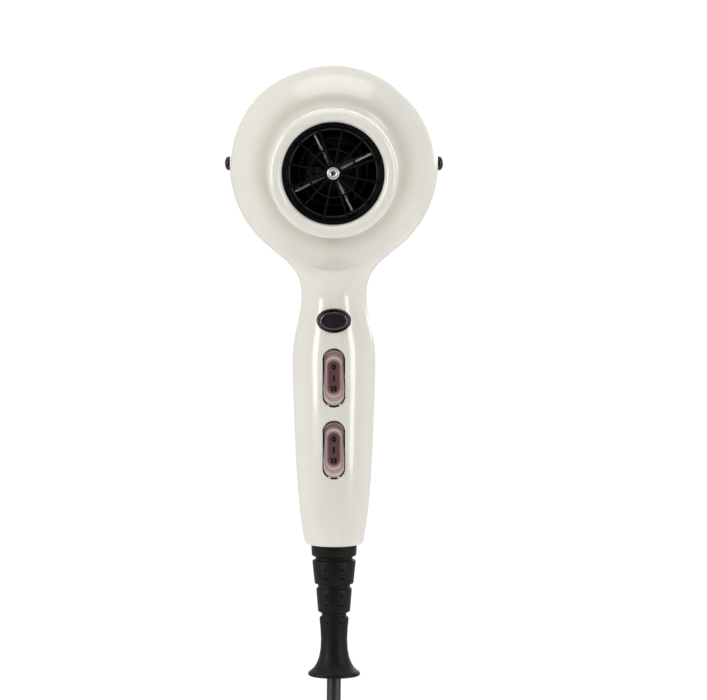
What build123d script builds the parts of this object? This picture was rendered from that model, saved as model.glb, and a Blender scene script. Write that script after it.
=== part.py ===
"""Hair dryer with a round head, a hanging handle, two rocker switches and a cool-shot button.

Frame: millimetres, +Z up, the air leaves towards -Y and +X is to the right of someone
facing the outlet. The origin is on the barrel axis, in the middle of the round land of the
outlet ring where a nozzle, a diffuser or a wall ring seats. The handle hangs down along -Z.
"""

from build123d import *
import os
from math import cos, pi, radians, sin, tan

os.makedirs("parts", exist_ok=True)

# ---------------------------------------------------------------- driving sizes
head_radius = 45.0  # widest radius of the head
head_y = 80.0  # the widest plane, which is also the handle's axis and the shell joint
wall = 2.4  # thickness of both shells
barrel_radius = 26.4
barrel_front = 4.0
land_radius = 27.2  # the outlet ring's land, where attachments seat
outlet_radius = 21.5
lip_front = -7.0
rear_y = 118.0  # where the rear shell stops and the filter cap starts
rear_radius = 35.3
cap_depth = 14.5  # how far the domed filter cap stands behind the rear shell
neck_below_head = 11.0  # from the underside of the head to the narrowest place of the handle
handle_length = 110.0  # from the neck to the foot of the handle
gap = 0.3  # clearance between pieces that move or only seat
snug = 0.1  # clearance between pieces fixed together

neck_z = -(head_radius + neck_below_head)
foot_z = neck_z - handle_length

shaft_radius = 1.15
running_gap = 0.03
rotor_tip_gap = 0.7
duct_wall = 1.6
duct_outside = rear_radius + 0.8  # the fan's duct is a little wider than the rear opening
duct_inside = duct_outside - duct_wall

screw_radius = 1.4
screw_head_radius = 2.7

rocker_length = 22.4
rocker_width = 9.0
rocker_slot_length = 25.8
rocker_slot_width = 9.8
rocker_tilt = 12.0  # degrees from the middle position to either end
rocker_pivot_depth = 6.8  # from the handle's surface to the pivot pin
rocker_pin_radius = 1.0
speed_switch_z = neck_z - 35.5
heat_switch_z = speed_switch_z - 31.4

cool_shot_z = neck_z - 10.7
cool_shot_width = 15.0
cool_shot_height = 10.4
cool_shot_rim = 1.8
cool_shot_travel = 2.5

cord_diameter = 6.2
cord_radius = cord_diameter / 2

# ---------------------------------------------------------------- outer form of the shells
# The head's outline: (y, radius, direction that the surface faces, 90 = straight outwards)
drawn_step = 18.6  # the step from barrel to head that the radii below were drawn for
step_share = (head_radius - barrel_radius) / drawn_step
head_outline = [
    (barrel_front + 26, barrel_radius + 0.4 * step_share, 93),
    (barrel_front + 37, barrel_radius + 3.4 * step_share, 122),
    (head_y - 32, head_radius - 8.2 * step_share, 147),
    (head_y - 27, head_radius - 3.8 * step_share, 122),
    (head_y - 19, head_radius - 0.9 * step_share, 102),
    (head_y, head_radius, 90),
    (head_y + 21, head_radius - 2.3, 77),
    (rear_y, rear_radius, 55),
]

# The handle's ellipses, going down: (height, half width, half depth)
under_head = -head_radius
handle_sections = [
    (under_head + 20, 32.0, 36.0),
    (under_head + 11, 27.0, 31.0),
    (under_head + 6, 21.9, 26.6),
    (under_head + 2, 17.7, 23.0),
    (under_head - 3, 15.3, 20.5),
    (neck_z, 14.0, 18.8),
    (neck_z - 7, 14.5, 18.7),
    (neck_z - 14, 16.1, 19.3),
    (neck_z - 22, 17.7, 20.0),
    (neck_z - 30, 18.1, 20.2),
    (neck_z - 44, 17.7, 19.9),
    (neck_z - 64, 17.0, 19.2),
    (foot_z + 26, 15.9, 18.0),
    (foot_z + 14, 14.8, 16.9),
    (foot_z + 4, 13.3, 15.5),
    (foot_z, 12.5, 14.7),
]


def half_depth(z):
    """Half depth of the handle's outside at height z."""
    for (z_high, _, deep_high), (z_low, _, deep_low) in zip(handle_sections, handle_sections[1:]):
        if z_low <= z <= z_high:
            share = (z - z_low) / (z_high - z_low)
            return deep_low + share * (deep_high - deep_low)
    return handle_sections[-1][2]


def across(y):
    """Plane across the barrel axis at y, facing backwards, with its second direction up."""
    return Plane(origin=(0, y, 0), x_dir=(-1, 0, 0), z_dir=(0, 1, 0))


def facing_front(y, z):
    """Plane across the barrel axis that faces forwards, placed at height z."""
    return Plane(origin=(0, y, z), x_dir=(1, 0, 0), z_dir=(0, -1, 0))


def outline_moved(outline, grow):
    """Points of an outline moved along the direction they face, and their tangents."""
    points = [(y + grow * cos(radians(f)), r + grow * sin(radians(f))) for y, r, f in outline]
    tangents = [(sin(radians(f)), -cos(radians(f))) for _, _, f in outline]
    return points, tangents


def head_form(grow, front, rear):
    """The head turned about the barrel axis, every face moved outwards by grow."""
    points, tangents = outline_moved(head_outline, grow)
    with BuildPart() as form:
        with BuildSketch(Plane.YZ):
            with BuildLine():
                Line((front, barrel_radius + grow), (barrel_front, barrel_radius + grow))
                Line((barrel_front, barrel_radius + grow), points[0])
                Spline(*points, tangents=tangents)
                Polyline(points[-1], (rear, points[-1][1]), (rear, 0), (front, 0), (front, barrel_radius + grow))
            make_face()
        revolve(axis=Axis.Y)
    return form.part


def handle_form(grow):
    """The handle lofted down through its ellipses, its sides moved outwards by grow."""
    with BuildPart() as form:
        for z, half_width, deep in handle_sections:
            foot_shift = -grow if z == foot_z else 0
            with BuildSketch(Plane.XY.offset(z + foot_shift)):
                with Locations((0, head_y)):
                    Ellipse(half_width + grow, deep + grow)
        loft()
    return form.part


outer_head = head_form(0, barrel_front - 1, rear_y + 1)
inner_head = head_form(-wall, barrel_front - 6, rear_y + 8)
outer_handle = handle_form(0)
inner_handle = handle_form(-wall)

with BuildPart() as outer_form:
    add(outer_head)
    add(outer_handle)
    split(bisect_by=Plane.XZ.offset(-barrel_front), keep=Keep.BOTTOM)
    split(bisect_by=Plane.XZ.offset(-rear_y), keep=Keep.TOP)


def trimmed_post(centre, radius, start, length, direction):
    """A round post inside the outer form, along a direction."""
    with BuildPart() as post:
        with BuildSketch(Plane(origin=centre, z_dir=direction).offset(start)):
            Circle(radius)
        extrude(amount=length)
        add(outer_form.part, mode=Mode.INTERSECT)
    return post.part


def drilled(centre, radius, start, length, direction):
    """A round cutter along a direction."""
    with BuildPart() as cutter:
        with BuildSketch(Plane(origin=centre, z_dir=direction).offset(start)):
            Circle(radius)
        extrude(amount=length)
    return cutter.part


# ---------------------------------------------------------------- where things fasten
post_radius = 2.6
sleeve_radius = 3.7
screw_tower_z = [duct_outside + gap + sleeve_radius, (speed_switch_z + heat_switch_z) / 2, foot_z + 26]
screw_seat = 5.0  # from the shell joint back to the underside of the screw heads
screw_reach = 10.0  # how far the screws run into the front shell's posts

side_screw_y = head_y + 8
side_boss_radius = 3.9
side_boss_end = head_radius + 1.4
side_cap_radius = 3.2
side_seat = head_radius - 1.3

clamp_z = foot_z + 9
clamp_screw_x = 6.4
clamp_post_radius = 2.3
clamp_bar_y = head_y + 2.2

relief_neck_radius = 5.0
relief_flange_radius = 6.8

grip_front = {z: head_y - half_depth(z) for z in (speed_switch_z, heat_switch_z, cool_shot_z)}

forward = (0, -1, 0)
backward = (0, 1, 0)

# ---------------------------------------------------------------- shells
with BuildPart() as hollow_shell:
    add(outer_form.part)
    add(inner_head, mode=Mode.SUBTRACT)
    add(inner_handle, mode=Mode.SUBTRACT)

with BuildPart() as front_shell:
    add(hollow_shell.part)
    split(bisect_by=Plane.XZ.offset(-head_y), keep=Keep.TOP)
    for z in screw_tower_z:
        add(trimmed_post((0, head_y, z), post_radius, 0, 2 * head_radius, forward))
    for x in (-clamp_screw_x, clamp_screw_x):
        add(trimmed_post((x, head_y - 1, clamp_z), clamp_post_radius, 0, 2 * head_radius, forward))
    # the screws' pilot holes
    for z in screw_tower_z:
        add(drilled((0, head_y, z), screw_radius, 0, screw_reach + 1, forward), mode=Mode.SUBTRACT)
    for x in (-clamp_screw_x, clamp_screw_x):
        add(drilled((x, head_y - 1, clamp_z), screw_radius, 0, 9, forward), mode=Mode.SUBTRACT)
    # the two rocker slots
    for z in (speed_switch_z, heat_switch_z):
        with BuildSketch(facing_front(head_y - 9, z)):
            SlotOverall(rocker_slot_length, rocker_slot_width, rotation=90)
        extrude(amount=14, mode=Mode.SUBTRACT)
    # the oval hole that the cool-shot bezel's neck passes through
    with BuildSketch(facing_front(head_y - 9, cool_shot_z)):
        Ellipse(cool_shot_width / 2 - 0.7, cool_shot_height / 2 - 0.7)
    extrude(amount=14, mode=Mode.SUBTRACT)
    # the strain relief's hole in the foot
    with BuildSketch(Plane.XY.offset(foot_z - 1)):
        with Locations((0, head_y)):
            Circle(relief_neck_radius + snug)
    extrude(amount=wall + 2, mode=Mode.SUBTRACT)
front_shell.part.label = "front_shell"
export_step(front_shell.part, "parts/front_shell.step")

with BuildPart() as rear_shell:
    add(hollow_shell.part)
    split(bisect_by=Plane.XZ.offset(-head_y), keep=Keep.BOTTOM)
    for z in screw_tower_z:
        add(trimmed_post((0, head_y, z), sleeve_radius, 0, 2 * head_radius, backward))
    for side in (-1, 1):
        # a short round boss stands out of each side for the screw that holds the fan housing
        with BuildSketch(Plane(origin=(0, side_screw_y, 0), z_dir=(side, 0, 0)).offset(head_radius - 2.2)):
            Circle(side_boss_radius)
        extrude(amount=side_boss_end - head_radius + 2.2)
    for z in screw_tower_z:
        add(drilled((0, head_y, z), screw_radius + 0.2, -1, screw_seat + 2, backward), mode=Mode.SUBTRACT)
        recess = screw_head_radius + 0.3
        add(drilled((0, head_y, z), recess, screw_seat, head_radius, backward), mode=Mode.SUBTRACT)
    for side in (-1, 1):
        outwards = (side, 0, 0)
        centre = (0, side_screw_y, 0)
        add(drilled(centre, screw_radius + 0.2, head_radius - 5, 9, outwards), mode=Mode.SUBTRACT)
        add(drilled(centre, side_cap_radius, side_seat, 9, outwards), mode=Mode.SUBTRACT)
    with BuildSketch(Plane.XY.offset(foot_z - 1)):
        with Locations((0, head_y)):
            Circle(relief_neck_radius + snug)
    extrude(amount=wall + 2, mode=Mode.SUBTRACT)
rear_shell.part.label = "rear_shell"
export_step(rear_shell.part, "parts/rear_shell.step")

# ---------------------------------------------------------------- outlet
spigot_rear = barrel_front + 8
lip_roll = (land_radius - outlet_radius) / 2

with BuildPart() as outlet_ring:
    with BuildSketch(Plane.YZ):
        with BuildLine():
            Line((spigot_rear, outlet_radius), (lip_front + lip_roll, outlet_radius))
            ThreePointArc(
                (lip_front + lip_roll, outlet_radius),
                (lip_front, outlet_radius + lip_roll),
                (lip_front + lip_roll, land_radius),
            )
            Polyline(
                (lip_front + lip_roll, land_radius),
                (barrel_front, land_radius),
                (barrel_front, barrel_radius - wall - snug),
                (spigot_rear, barrel_radius - wall - snug),
                (spigot_rear, outlet_radius),
            )
        make_face()
    revolve(axis=Axis.Y)
outlet_ring.part.label = "outlet_ring"
export_step(outlet_ring.part, "parts/outlet_ring.step")

shield_inside = 18.2
shield_outside = 18.7
grille_front = -1.5
grille_rear = 5.0
hub_radius = 3.6
blade_count = 12

with BuildPart() as front_grille:
    with BuildSketch(across(grille_front)):
        Circle(outlet_radius - snug)
        Circle(shield_outside + snug, mode=Mode.SUBTRACT)
    extrude(amount=grille_rear - grille_front)
    with BuildSketch(across(grille_front)):
        Circle(10.6)
        Circle(9.6, mode=Mode.SUBTRACT)
        Circle(hub_radius)
    extrude(amount=3.2)
    with BuildSketch(across(grille_front)):
        with PolarLocations((hub_radius + shield_outside + 0.6) / 2, blade_count, start_angle=18):
            Rectangle(shield_outside - hub_radius + 0.8, 1.0)
    extrude(amount=3.2)
    with BuildSketch(across(grille_front)):
        Circle(1.65)
    extrude(amount=6, mode=Mode.SUBTRACT)
front_grille.part.label = "front_grille"
export_step(front_grille.part, "parts/front_grille.step")

with BuildPart() as hub_eyelet:
    with BuildSketch(Plane.YZ):
        with BuildLine():
            Polyline(
                (grille_front, 1.05),
                (grille_front - 0.25, 1.2),
                (grille_front - 0.5, 1.7),
                (grille_front - 0.35, 2.35),
                (grille_front, 2.55),
                (grille_front, 1.6),
                (grille_front + 3.2, 1.6),
                (grille_front + 3.2, 2.3),
                (grille_front + 3.6, 2.2),
                (grille_front + 3.6, 1.05),
                (grille_front, 1.05),
            )
        make_face()
    revolve(axis=Axis.Y)
hub_eyelet.part.label = "hub_eyelet"
export_step(hub_eyelet.part, "parts/hub_eyelet.step")

# ---------------------------------------------------------------- heater
shield_front = grille_front + 3.4
shield_rear = 60.0
board_front = 6.0
board_rear = 62.0
board_half = shield_inside - 0.5
board_thickness = 0.8
board_turn = 26.5  # degrees that the crossed boards are turned from level
coil_count = 7
coil_pitch = 6.6
coil_first_y = 12.0
coil_radius = 14.4
coil_wire_radius = 1.0
board_notch = 2 * coil_wire_radius + 0.6
board_middle = (board_front + board_rear) / 2

with BuildPart() as heat_shield:
    with BuildSketch(across(shield_front)):
        Circle(shield_outside)
        Circle(shield_inside, mode=Mode.SUBTRACT)
    extrude(amount=shield_rear - shield_front)
heat_shield.part.label = "heat_shield"
export_step(heat_shield.part, "parts/heat_shield.step")

for board_name, turn, slot_from, slot_to in (
    ("mica_board_a", board_turn, board_middle, board_rear + 1),
    ("mica_board_b", board_turn + 90, board_front - 1, board_middle),
):
    # each board lies on a plane that holds the barrel axis; its second direction is +Y
    flat = Plane(
        origin=(0, 0, 0),
        x_dir=(cos(radians(turn)), 0, sin(radians(turn))),
        z_dir=(-sin(radians(turn)), 0, cos(radians(turn))),
    )
    along = 1 if flat.y_dir.Y > 0 else -1
    with BuildPart() as board:
        with BuildSketch(flat.offset(-board_thickness / 2)):
            with Locations((0, along * board_middle)):
                Rectangle(2 * board_half, board_rear - board_front)
            with Locations((0, along * (slot_from + slot_to) / 2)):
                Rectangle(board_thickness + 0.1, slot_to - slot_from, mode=Mode.SUBTRACT)
            with Locations(
                *[
                    (side * coil_radius, along * (coil_first_y + turn_no * coil_pitch))
                    for side in (-1, 1)
                    for turn_no in range(coil_count)
                ]
            ):
                Rectangle(board_notch, board_notch, mode=Mode.SUBTRACT)
        extrude(amount=board_thickness)
    board.part.label = board_name
    export_step(board.part, "parts/" + board_name + ".step")

with BuildPart() as heating_coils:
    for turn_no in range(coil_count):
        with BuildSketch(Plane.YZ):
            with Locations((coil_first_y + turn_no * coil_pitch, coil_radius)):
                Circle(coil_wire_radius)
        revolve(axis=Axis.Y)
heating_coils.part.label = "heating_coils"
export_step(heating_coils.part, "parts/heating_coils.step")

# plane on one face of the first board, for what is riveted to it
on_board = Plane(
    origin=(0, 0, 0),
    x_dir=(cos(radians(board_turn)), 0, sin(radians(board_turn))),
    z_dir=(-sin(radians(board_turn)), 0, cos(radians(board_turn))),
)
up_board = 1 if on_board.y_dir.Y > 0 else -1
face_height = board_thickness / 2 + 0.02

with BuildPart() as thermostat:
    with BuildSketch(on_board.offset(face_height)):
        with Locations((6.2, up_board * 54)):
            RectangleRounded(7, 11, 1)
    extrude(amount=3.6)
    with BuildSketch(on_board.offset(face_height + 3.6)):
        with Locations((6.2, up_board * 54)):
            Rectangle(3, 9)
    extrude(amount=0.8)
thermostat.part.label = "thermostat"
export_step(thermostat.part, "parts/thermostat.step")

with BuildPart() as thermal_fuse:
    with BuildSketch(Plane(origin=(0, 0, 0), x_dir=(1, 0, 0), z_dir=(0, 1, 0)).offset(49)):
        fuse_place = on_board.from_local_coords(Vector(-6.5, 0, face_height + 1.7))
        with Locations((fuse_place.X, -fuse_place.Z)):
            Circle(1.6)
    extrude(amount=9)
    fillet(thermal_fuse.edges().filter_by(GeomType.CIRCLE), 0.4)
thermal_fuse.part.label = "thermal_fuse"
export_step(thermal_fuse.part, "parts/thermal_fuse.step")

# ---------------------------------------------------------------- motor and fan
carrier_inside = 14.0
carrier_outside = 15.6
carrier_front = 68.4
carrier_rear = 98.0
duct_front = 82.0
duct_rear = 111.0
vane_front = 86.0
vane_count = 9

with BuildPart() as motor_carrier:
    with BuildSketch(across(carrier_front)):
        Circle(carrier_outside)
    extrude(amount=carrier_rear - carrier_front)
    with BuildSketch(across(duct_front)):
        Circle(duct_outside)
        Circle(duct_inside, mode=Mode.SUBTRACT)
    extrude(amount=duct_rear - duct_front)
    with BuildSketch(across(vane_front)):
        with PolarLocations((carrier_outside + duct_inside) / 2, vane_count, start_angle=10):
            Rectangle(duct_inside - carrier_outside + 1.0, 1.2)
    extrude(amount=carrier_rear - vane_front)
    # bosses that the side screws run into
    for side in (-1, 1):
        with BuildSketch(Plane(origin=(0, side_screw_y, 0), z_dir=(side, 0, 0)).offset(duct_outside - 0.8)):
            Circle(3.6)
        extrude(amount=head_radius - wall - 1.0 - duct_outside + 0.8)
        pilot_end = head_radius + 0.5
        pilot = drilled((0, side_screw_y, 0), screw_radius, duct_inside - 1, pilot_end - duct_inside + 1, (side, 0, 0))
        add(pilot, mode=Mode.SUBTRACT)
    with BuildSketch(across(carrier_front + 1.6)):
        Circle(carrier_inside)
    extrude(amount=carrier_rear, mode=Mode.SUBTRACT)
    # cooling holes round the front of the motor
    with BuildSketch(across(carrier_front - 1)):
        Circle(4)
        with PolarLocations(9.5, 6):
            Circle(1.8)
    extrude(amount=4, mode=Mode.SUBTRACT)
motor_carrier.part.label = "motor_carrier"
export_step(motor_carrier.part, "parts/motor_carrier.step")

can_radius = carrier_inside - snug
can_inside = can_radius - 0.9
motor_front = carrier_front + 1.6 + snug
motor_rear = motor_front + 29.0
bearing_radius = 3.0

with BuildPart() as motor_can:
    with BuildSketch(across(motor_front)):
        Circle(can_radius)
        Circle(can_inside, mode=Mode.SUBTRACT)
    extrude(amount=motor_rear - motor_front)
    with BuildSketch(across(motor_rear - 1)):
        Circle(can_radius)
        Circle(bearing_radius + 0.02, mode=Mode.SUBTRACT)
    extrude(amount=1)
    fillet(motor_can.faces().sort_by(Axis.Y)[-1].edges().sort_by(SortBy.LENGTH)[-1], 0.6)
motor_can.part.label = "motor_can"
export_step(motor_can.part, "parts/motor_can.step")

with BuildPart() as motor_end_cap:
    with BuildSketch(across(motor_front)):
        Circle(can_inside - 0.02)
        Circle(bearing_radius + 0.02, mode=Mode.SUBTRACT)
    extrude(amount=2.6)
motor_end_cap.part.label = "motor_end_cap"
export_step(motor_end_cap.part, "parts/motor_end_cap.step")

for bearing_name, start in (("front_bearing", motor_front), ("rear_bearing", motor_rear - 2.6)):
    with BuildPart() as bearing:
        with BuildSketch(across(start)):
            Circle(bearing_radius)
            Circle(shaft_radius + running_gap, mode=Mode.SUBTRACT)
        extrude(amount=2.6)
    bearing.part.label = bearing_name
    export_step(bearing.part, "parts/" + bearing_name + ".step")

magnet_inside = 10.8
with BuildPart() as motor_magnets:
    with BuildSketch(across(motor_front + 7)):
        Circle(can_inside - 0.02)
        Circle(magnet_inside, mode=Mode.SUBTRACT)
        Rectangle(9, 2 * can_radius, mode=Mode.SUBTRACT)
    extrude(amount=18)
motor_magnets.part.label = "motor_magnets"
export_step(motor_magnets.part, "parts/motor_magnets.step")

core_front = motor_front + 10
core_length = 12.0
core_radius = magnet_inside - 0.5
with BuildPart() as armature_core:
    with BuildSketch(across(core_front)):
        Circle(core_radius)
        Circle(shaft_radius, mode=Mode.SUBTRACT)
        with PolarLocations(6.0, 3, start_angle=30):
            Circle(3.4, mode=Mode.SUBTRACT)
        with PolarLocations(core_radius, 3, start_angle=30):
            Rectangle(5, 1.4, mode=Mode.SUBTRACT)
    extrude(amount=core_length)
armature_core.part.label = "armature_core"
export_step(armature_core.part, "parts/armature_core.step")

with BuildPart() as armature_windings:
    with BuildSketch(across(core_front - 2.4)):
        with PolarLocations(6.0, 3, start_angle=30):
            Circle(3.1)
    extrude(amount=core_length + 4.8)
    for start in (core_front - 2.4, core_front + core_length + 0.2):
        with BuildSketch(across(start)):
            Circle(9.0)
            Circle(3.2, mode=Mode.SUBTRACT)
        extrude(amount=2.2)
armature_windings.part.label = "armature_windings"
export_step(armature_windings.part, "parts/armature_windings.step")

commutator_radius = 2.8
with BuildPart() as commutator:
    with BuildSketch(across(motor_front + 3.2)):
        Circle(commutator_radius)
        Circle(shaft_radius, mode=Mode.SUBTRACT)
        with PolarLocations(commutator_radius, 3, start_angle=90):
            Rectangle(1.2, 0.4, mode=Mode.SUBTRACT)
    extrude(amount=3.9)
commutator.part.label = "commutator"
export_step(commutator.part, "parts/commutator.step")

shaft_front = motor_front - 0.6
shaft_rear = motor_rear + 10.5
with BuildPart() as motor_shaft:
    with BuildSketch(across(shaft_front)):
        Circle(shaft_radius)
    extrude(amount=shaft_rear - shaft_front)
    chamfer(motor_shaft.edges().filter_by(GeomType.CIRCLE), 0.2)
motor_shaft.part.label = "motor_shaft"
export_step(motor_shaft.part, "parts/motor_shaft.step")

brush_inner = commutator_radius + 0.1
brush_outer = brush_inner + 2.6
with BuildPart() as brushes:
    with BuildSketch(across(motor_front + 4.2)):
        with Locations(((brush_inner + brush_outer) / 2, 0), (-(brush_inner + brush_outer) / 2, 0)):
            Rectangle(brush_outer - brush_inner, 2.4)
    extrude(amount=1.9)
brushes.part.label = "brushes"
export_step(brushes.part, "parts/brushes.step")

with BuildPart() as brush_springs:
    with BuildSketch(across(motor_front + 2.62)):
        with Locations((brush_outer + 0.24, 0), (-brush_outer - 0.24, 0)):
            Rectangle(0.4, 4.4)
    extrude(amount=4.0)
brush_springs.part.label = "brush_springs"
export_step(brush_springs.part, "parts/brush_springs.step")

rectifier_y = carrier_front - 3.0
with BuildPart() as rectifier_board:
    with BuildSketch(across(rectifier_y)):
        Circle(12)
        Circle(3.5, mode=Mode.SUBTRACT)
    extrude(amount=1.2)
    # three pegs stand the board off the motor carrier
    with BuildSketch(across(rectifier_y + 1.2)):
        with PolarLocations(13.2 - 2.6, 3, start_angle=90):
            Circle(1.0)
    extrude(amount=carrier_front - rectifier_y - 1.2)
rectifier_board.part.label = "rectifier_board"
export_step(rectifier_board.part, "parts/rectifier_board.step")

with BuildPart() as diodes:
    for x in (-7.8, -2.6, 2.6, 7.8):
        with BuildSketch(Plane.XY.offset(4.6)):
            with Locations((x, rectifier_y - 1.3)):
                Circle(1.25)
        extrude(amount=4.6)
diodes.part.label = "diodes"
export_step(diodes.part, "parts/diodes.step")

impeller_front = motor_rear + 1.6
impeller_depth = 8.6
impeller_hub_radius = 11.0
impeller_radius = duct_inside - rotor_tip_gap
blade_pitch = 42
impeller_blades = 7
with BuildPart() as impeller:
    with BuildSketch(across(impeller_front)):
        Circle(impeller_hub_radius)
    extrude(amount=impeller_depth)
    fillet(impeller.faces().sort_by(Axis.Y)[-1].edges(), 2.5)
    for number in range(impeller_blades):
        angle = number * 360 / impeller_blades
        outwards = Vector(cos(radians(angle)), 0, sin(radians(angle)))
        sideways = Vector(-sin(radians(angle)), 0, cos(radians(angle)))
        chord = sideways * cos(radians(blade_pitch)) + Vector(0, sin(radians(blade_pitch)), 0)
        middle = impeller_front + impeller_depth / 2
        start = outwards * (impeller_hub_radius - 1.5) + Vector(0, middle, 0)
        with BuildSketch(Plane(origin=start, x_dir=chord, z_dir=outwards)):
            Rectangle(10.6, 1.3)
        extrude(amount=impeller_radius - impeller_hub_radius + 3)
    with BuildSketch(across(impeller_front - 1)):
        Circle(impeller_radius)
    extrude(amount=impeller_depth + 2, mode=Mode.INTERSECT)
    with BuildSketch(across(impeller_front - 1)):
        Circle(shaft_radius)
    extrude(amount=impeller_depth + 3, mode=Mode.SUBTRACT)
impeller.part.label = "impeller"
export_step(impeller.part, "parts/impeller.step")

# ---------------------------------------------------------------- rear filter cap
cap_skin = 2.0
skirt_radius = rear_radius - wall - 0.55
cap_outline = [
    (rear_y + gap, rear_radius, 52),
    (rear_y + 0.58 * cap_depth, rear_radius - 8.3, 38),
    (rear_y + 0.92 * cap_depth, rear_radius - 20.5, 17),
    (rear_y + cap_depth, 0, 0),
]


def cap_dome(grow, rim):
    """The dome of the filter cap, closed by a flat disc at rim."""
    points, tangents = outline_moved(cap_outline, grow)
    points[-1] = (points[-1][0], 0)
    with BuildPart() as dome:
        with BuildSketch(Plane.YZ):
            with BuildLine():
                Spline(*points, tangents=tangents)
                Polyline(points[-1], (rim, 0), (rim, points[0][1]), points[0])
            make_face()
        revolve(axis=Axis.Y)
    return dome.part


with BuildPart() as rear_filter_cap:
    add(cap_dome(0, rear_y + gap - 0.01))
    add(cap_dome(-cap_skin, rear_y - 4), mode=Mode.SUBTRACT)
    with BuildSketch(across(rear_y - 6)):
        Circle(skirt_radius)
        Circle(skirt_radius - 1.8, mode=Mode.SUBTRACT)
    extrude(amount=6.8)
    # air slots in two rings, and a small ring round the middle
    for inner, outer, count in ((19.5, 30.0, 30), (9.0, 17.5, 18)):
        with BuildSketch(across(rear_y + 1.2)):
            with PolarLocations((inner + outer) / 2, count):
                SlotOverall(outer - inner, 2.2)
        extrude(amount=cap_depth + 2, mode=Mode.SUBTRACT)
rear_filter_cap.part.label = "rear_filter_cap"
export_step(rear_filter_cap.part, "parts/rear_filter_cap.step")

with BuildPart() as filter_mesh:
    with BuildSketch(across(rear_y - 3)):
        Circle(skirt_radius - 1.8 - 0.05)
    extrude(amount=0.8)
filter_mesh.part.label = "filter_mesh"
export_step(filter_mesh.part, "parts/filter_mesh.step")

# ---------------------------------------------------------------- screws
with BuildPart() as side_screws:
    for side in (-1, 1):
        base = Plane(origin=(0, side_screw_y, 0), z_dir=(side, 0, 0))
        with BuildSketch(base.offset(side_seat - 8)):
            Circle(screw_radius - 0.02)
        extrude(amount=8.2)
        with BuildSketch(base.offset(side_seat)):
            Circle(screw_head_radius)
        extrude(amount=1.5)
side_screws.part.label = "side_screws"
export_step(side_screws.part, "parts/side_screws.step")

with BuildPart() as side_screw_caps:
    for side in (-1, 1):
        with BuildSketch(Plane(origin=(0, side_screw_y, 0), z_dir=(side, 0, 0)).offset(side_seat + 1.6)):
            Circle(side_cap_radius - 0.05)
        extrude(amount=side_boss_end + 1.2 - side_seat - 1.6)
    fillet(side_screw_caps.edges().filter_by(GeomType.CIRCLE).group_by(Axis.X)[-1], 1.1)
    fillet(side_screw_caps.edges().filter_by(GeomType.CIRCLE).group_by(Axis.X)[0], 1.1)
side_screw_caps.part.label = "side_screw_caps"
export_step(side_screw_caps.part, "parts/side_screw_caps.step")

with BuildPart() as shell_screws:
    for z in screw_tower_z:
        with BuildSketch(across(head_y - screw_reach)):
            with Locations((0, z)):
                Circle(screw_radius - 0.02)
        extrude(amount=screw_reach + screw_seat + 0.2)
        with BuildSketch(across(head_y + screw_seat + 0.02)):
            with Locations((0, z)):
                Circle(screw_head_radius)
        extrude(amount=1.8)
        with BuildSketch(across(head_y + screw_seat + 1.0)):
            with Locations((0, z)):
                Rectangle(3.0, 0.7)
                Rectangle(0.7, 3.0)
        extrude(amount=1.0, mode=Mode.SUBTRACT)
shell_screws.part.label = "shell_screws"
export_step(shell_screws.part, "parts/shell_screws.step")

# ---------------------------------------------------------------- rocker switches
rocker_proud = 1.2  # how far the rocker's ends stand out in the middle position
saddle_depth = 2.0
cheek_gap = 0.4
cheek = 0.9
body_half = rocker_width / 2 + cheek_gap + cheek
saddle_radius = ((rocker_length / 2) ** 2 + saddle_depth**2) / (2 * saddle_depth)

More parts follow.
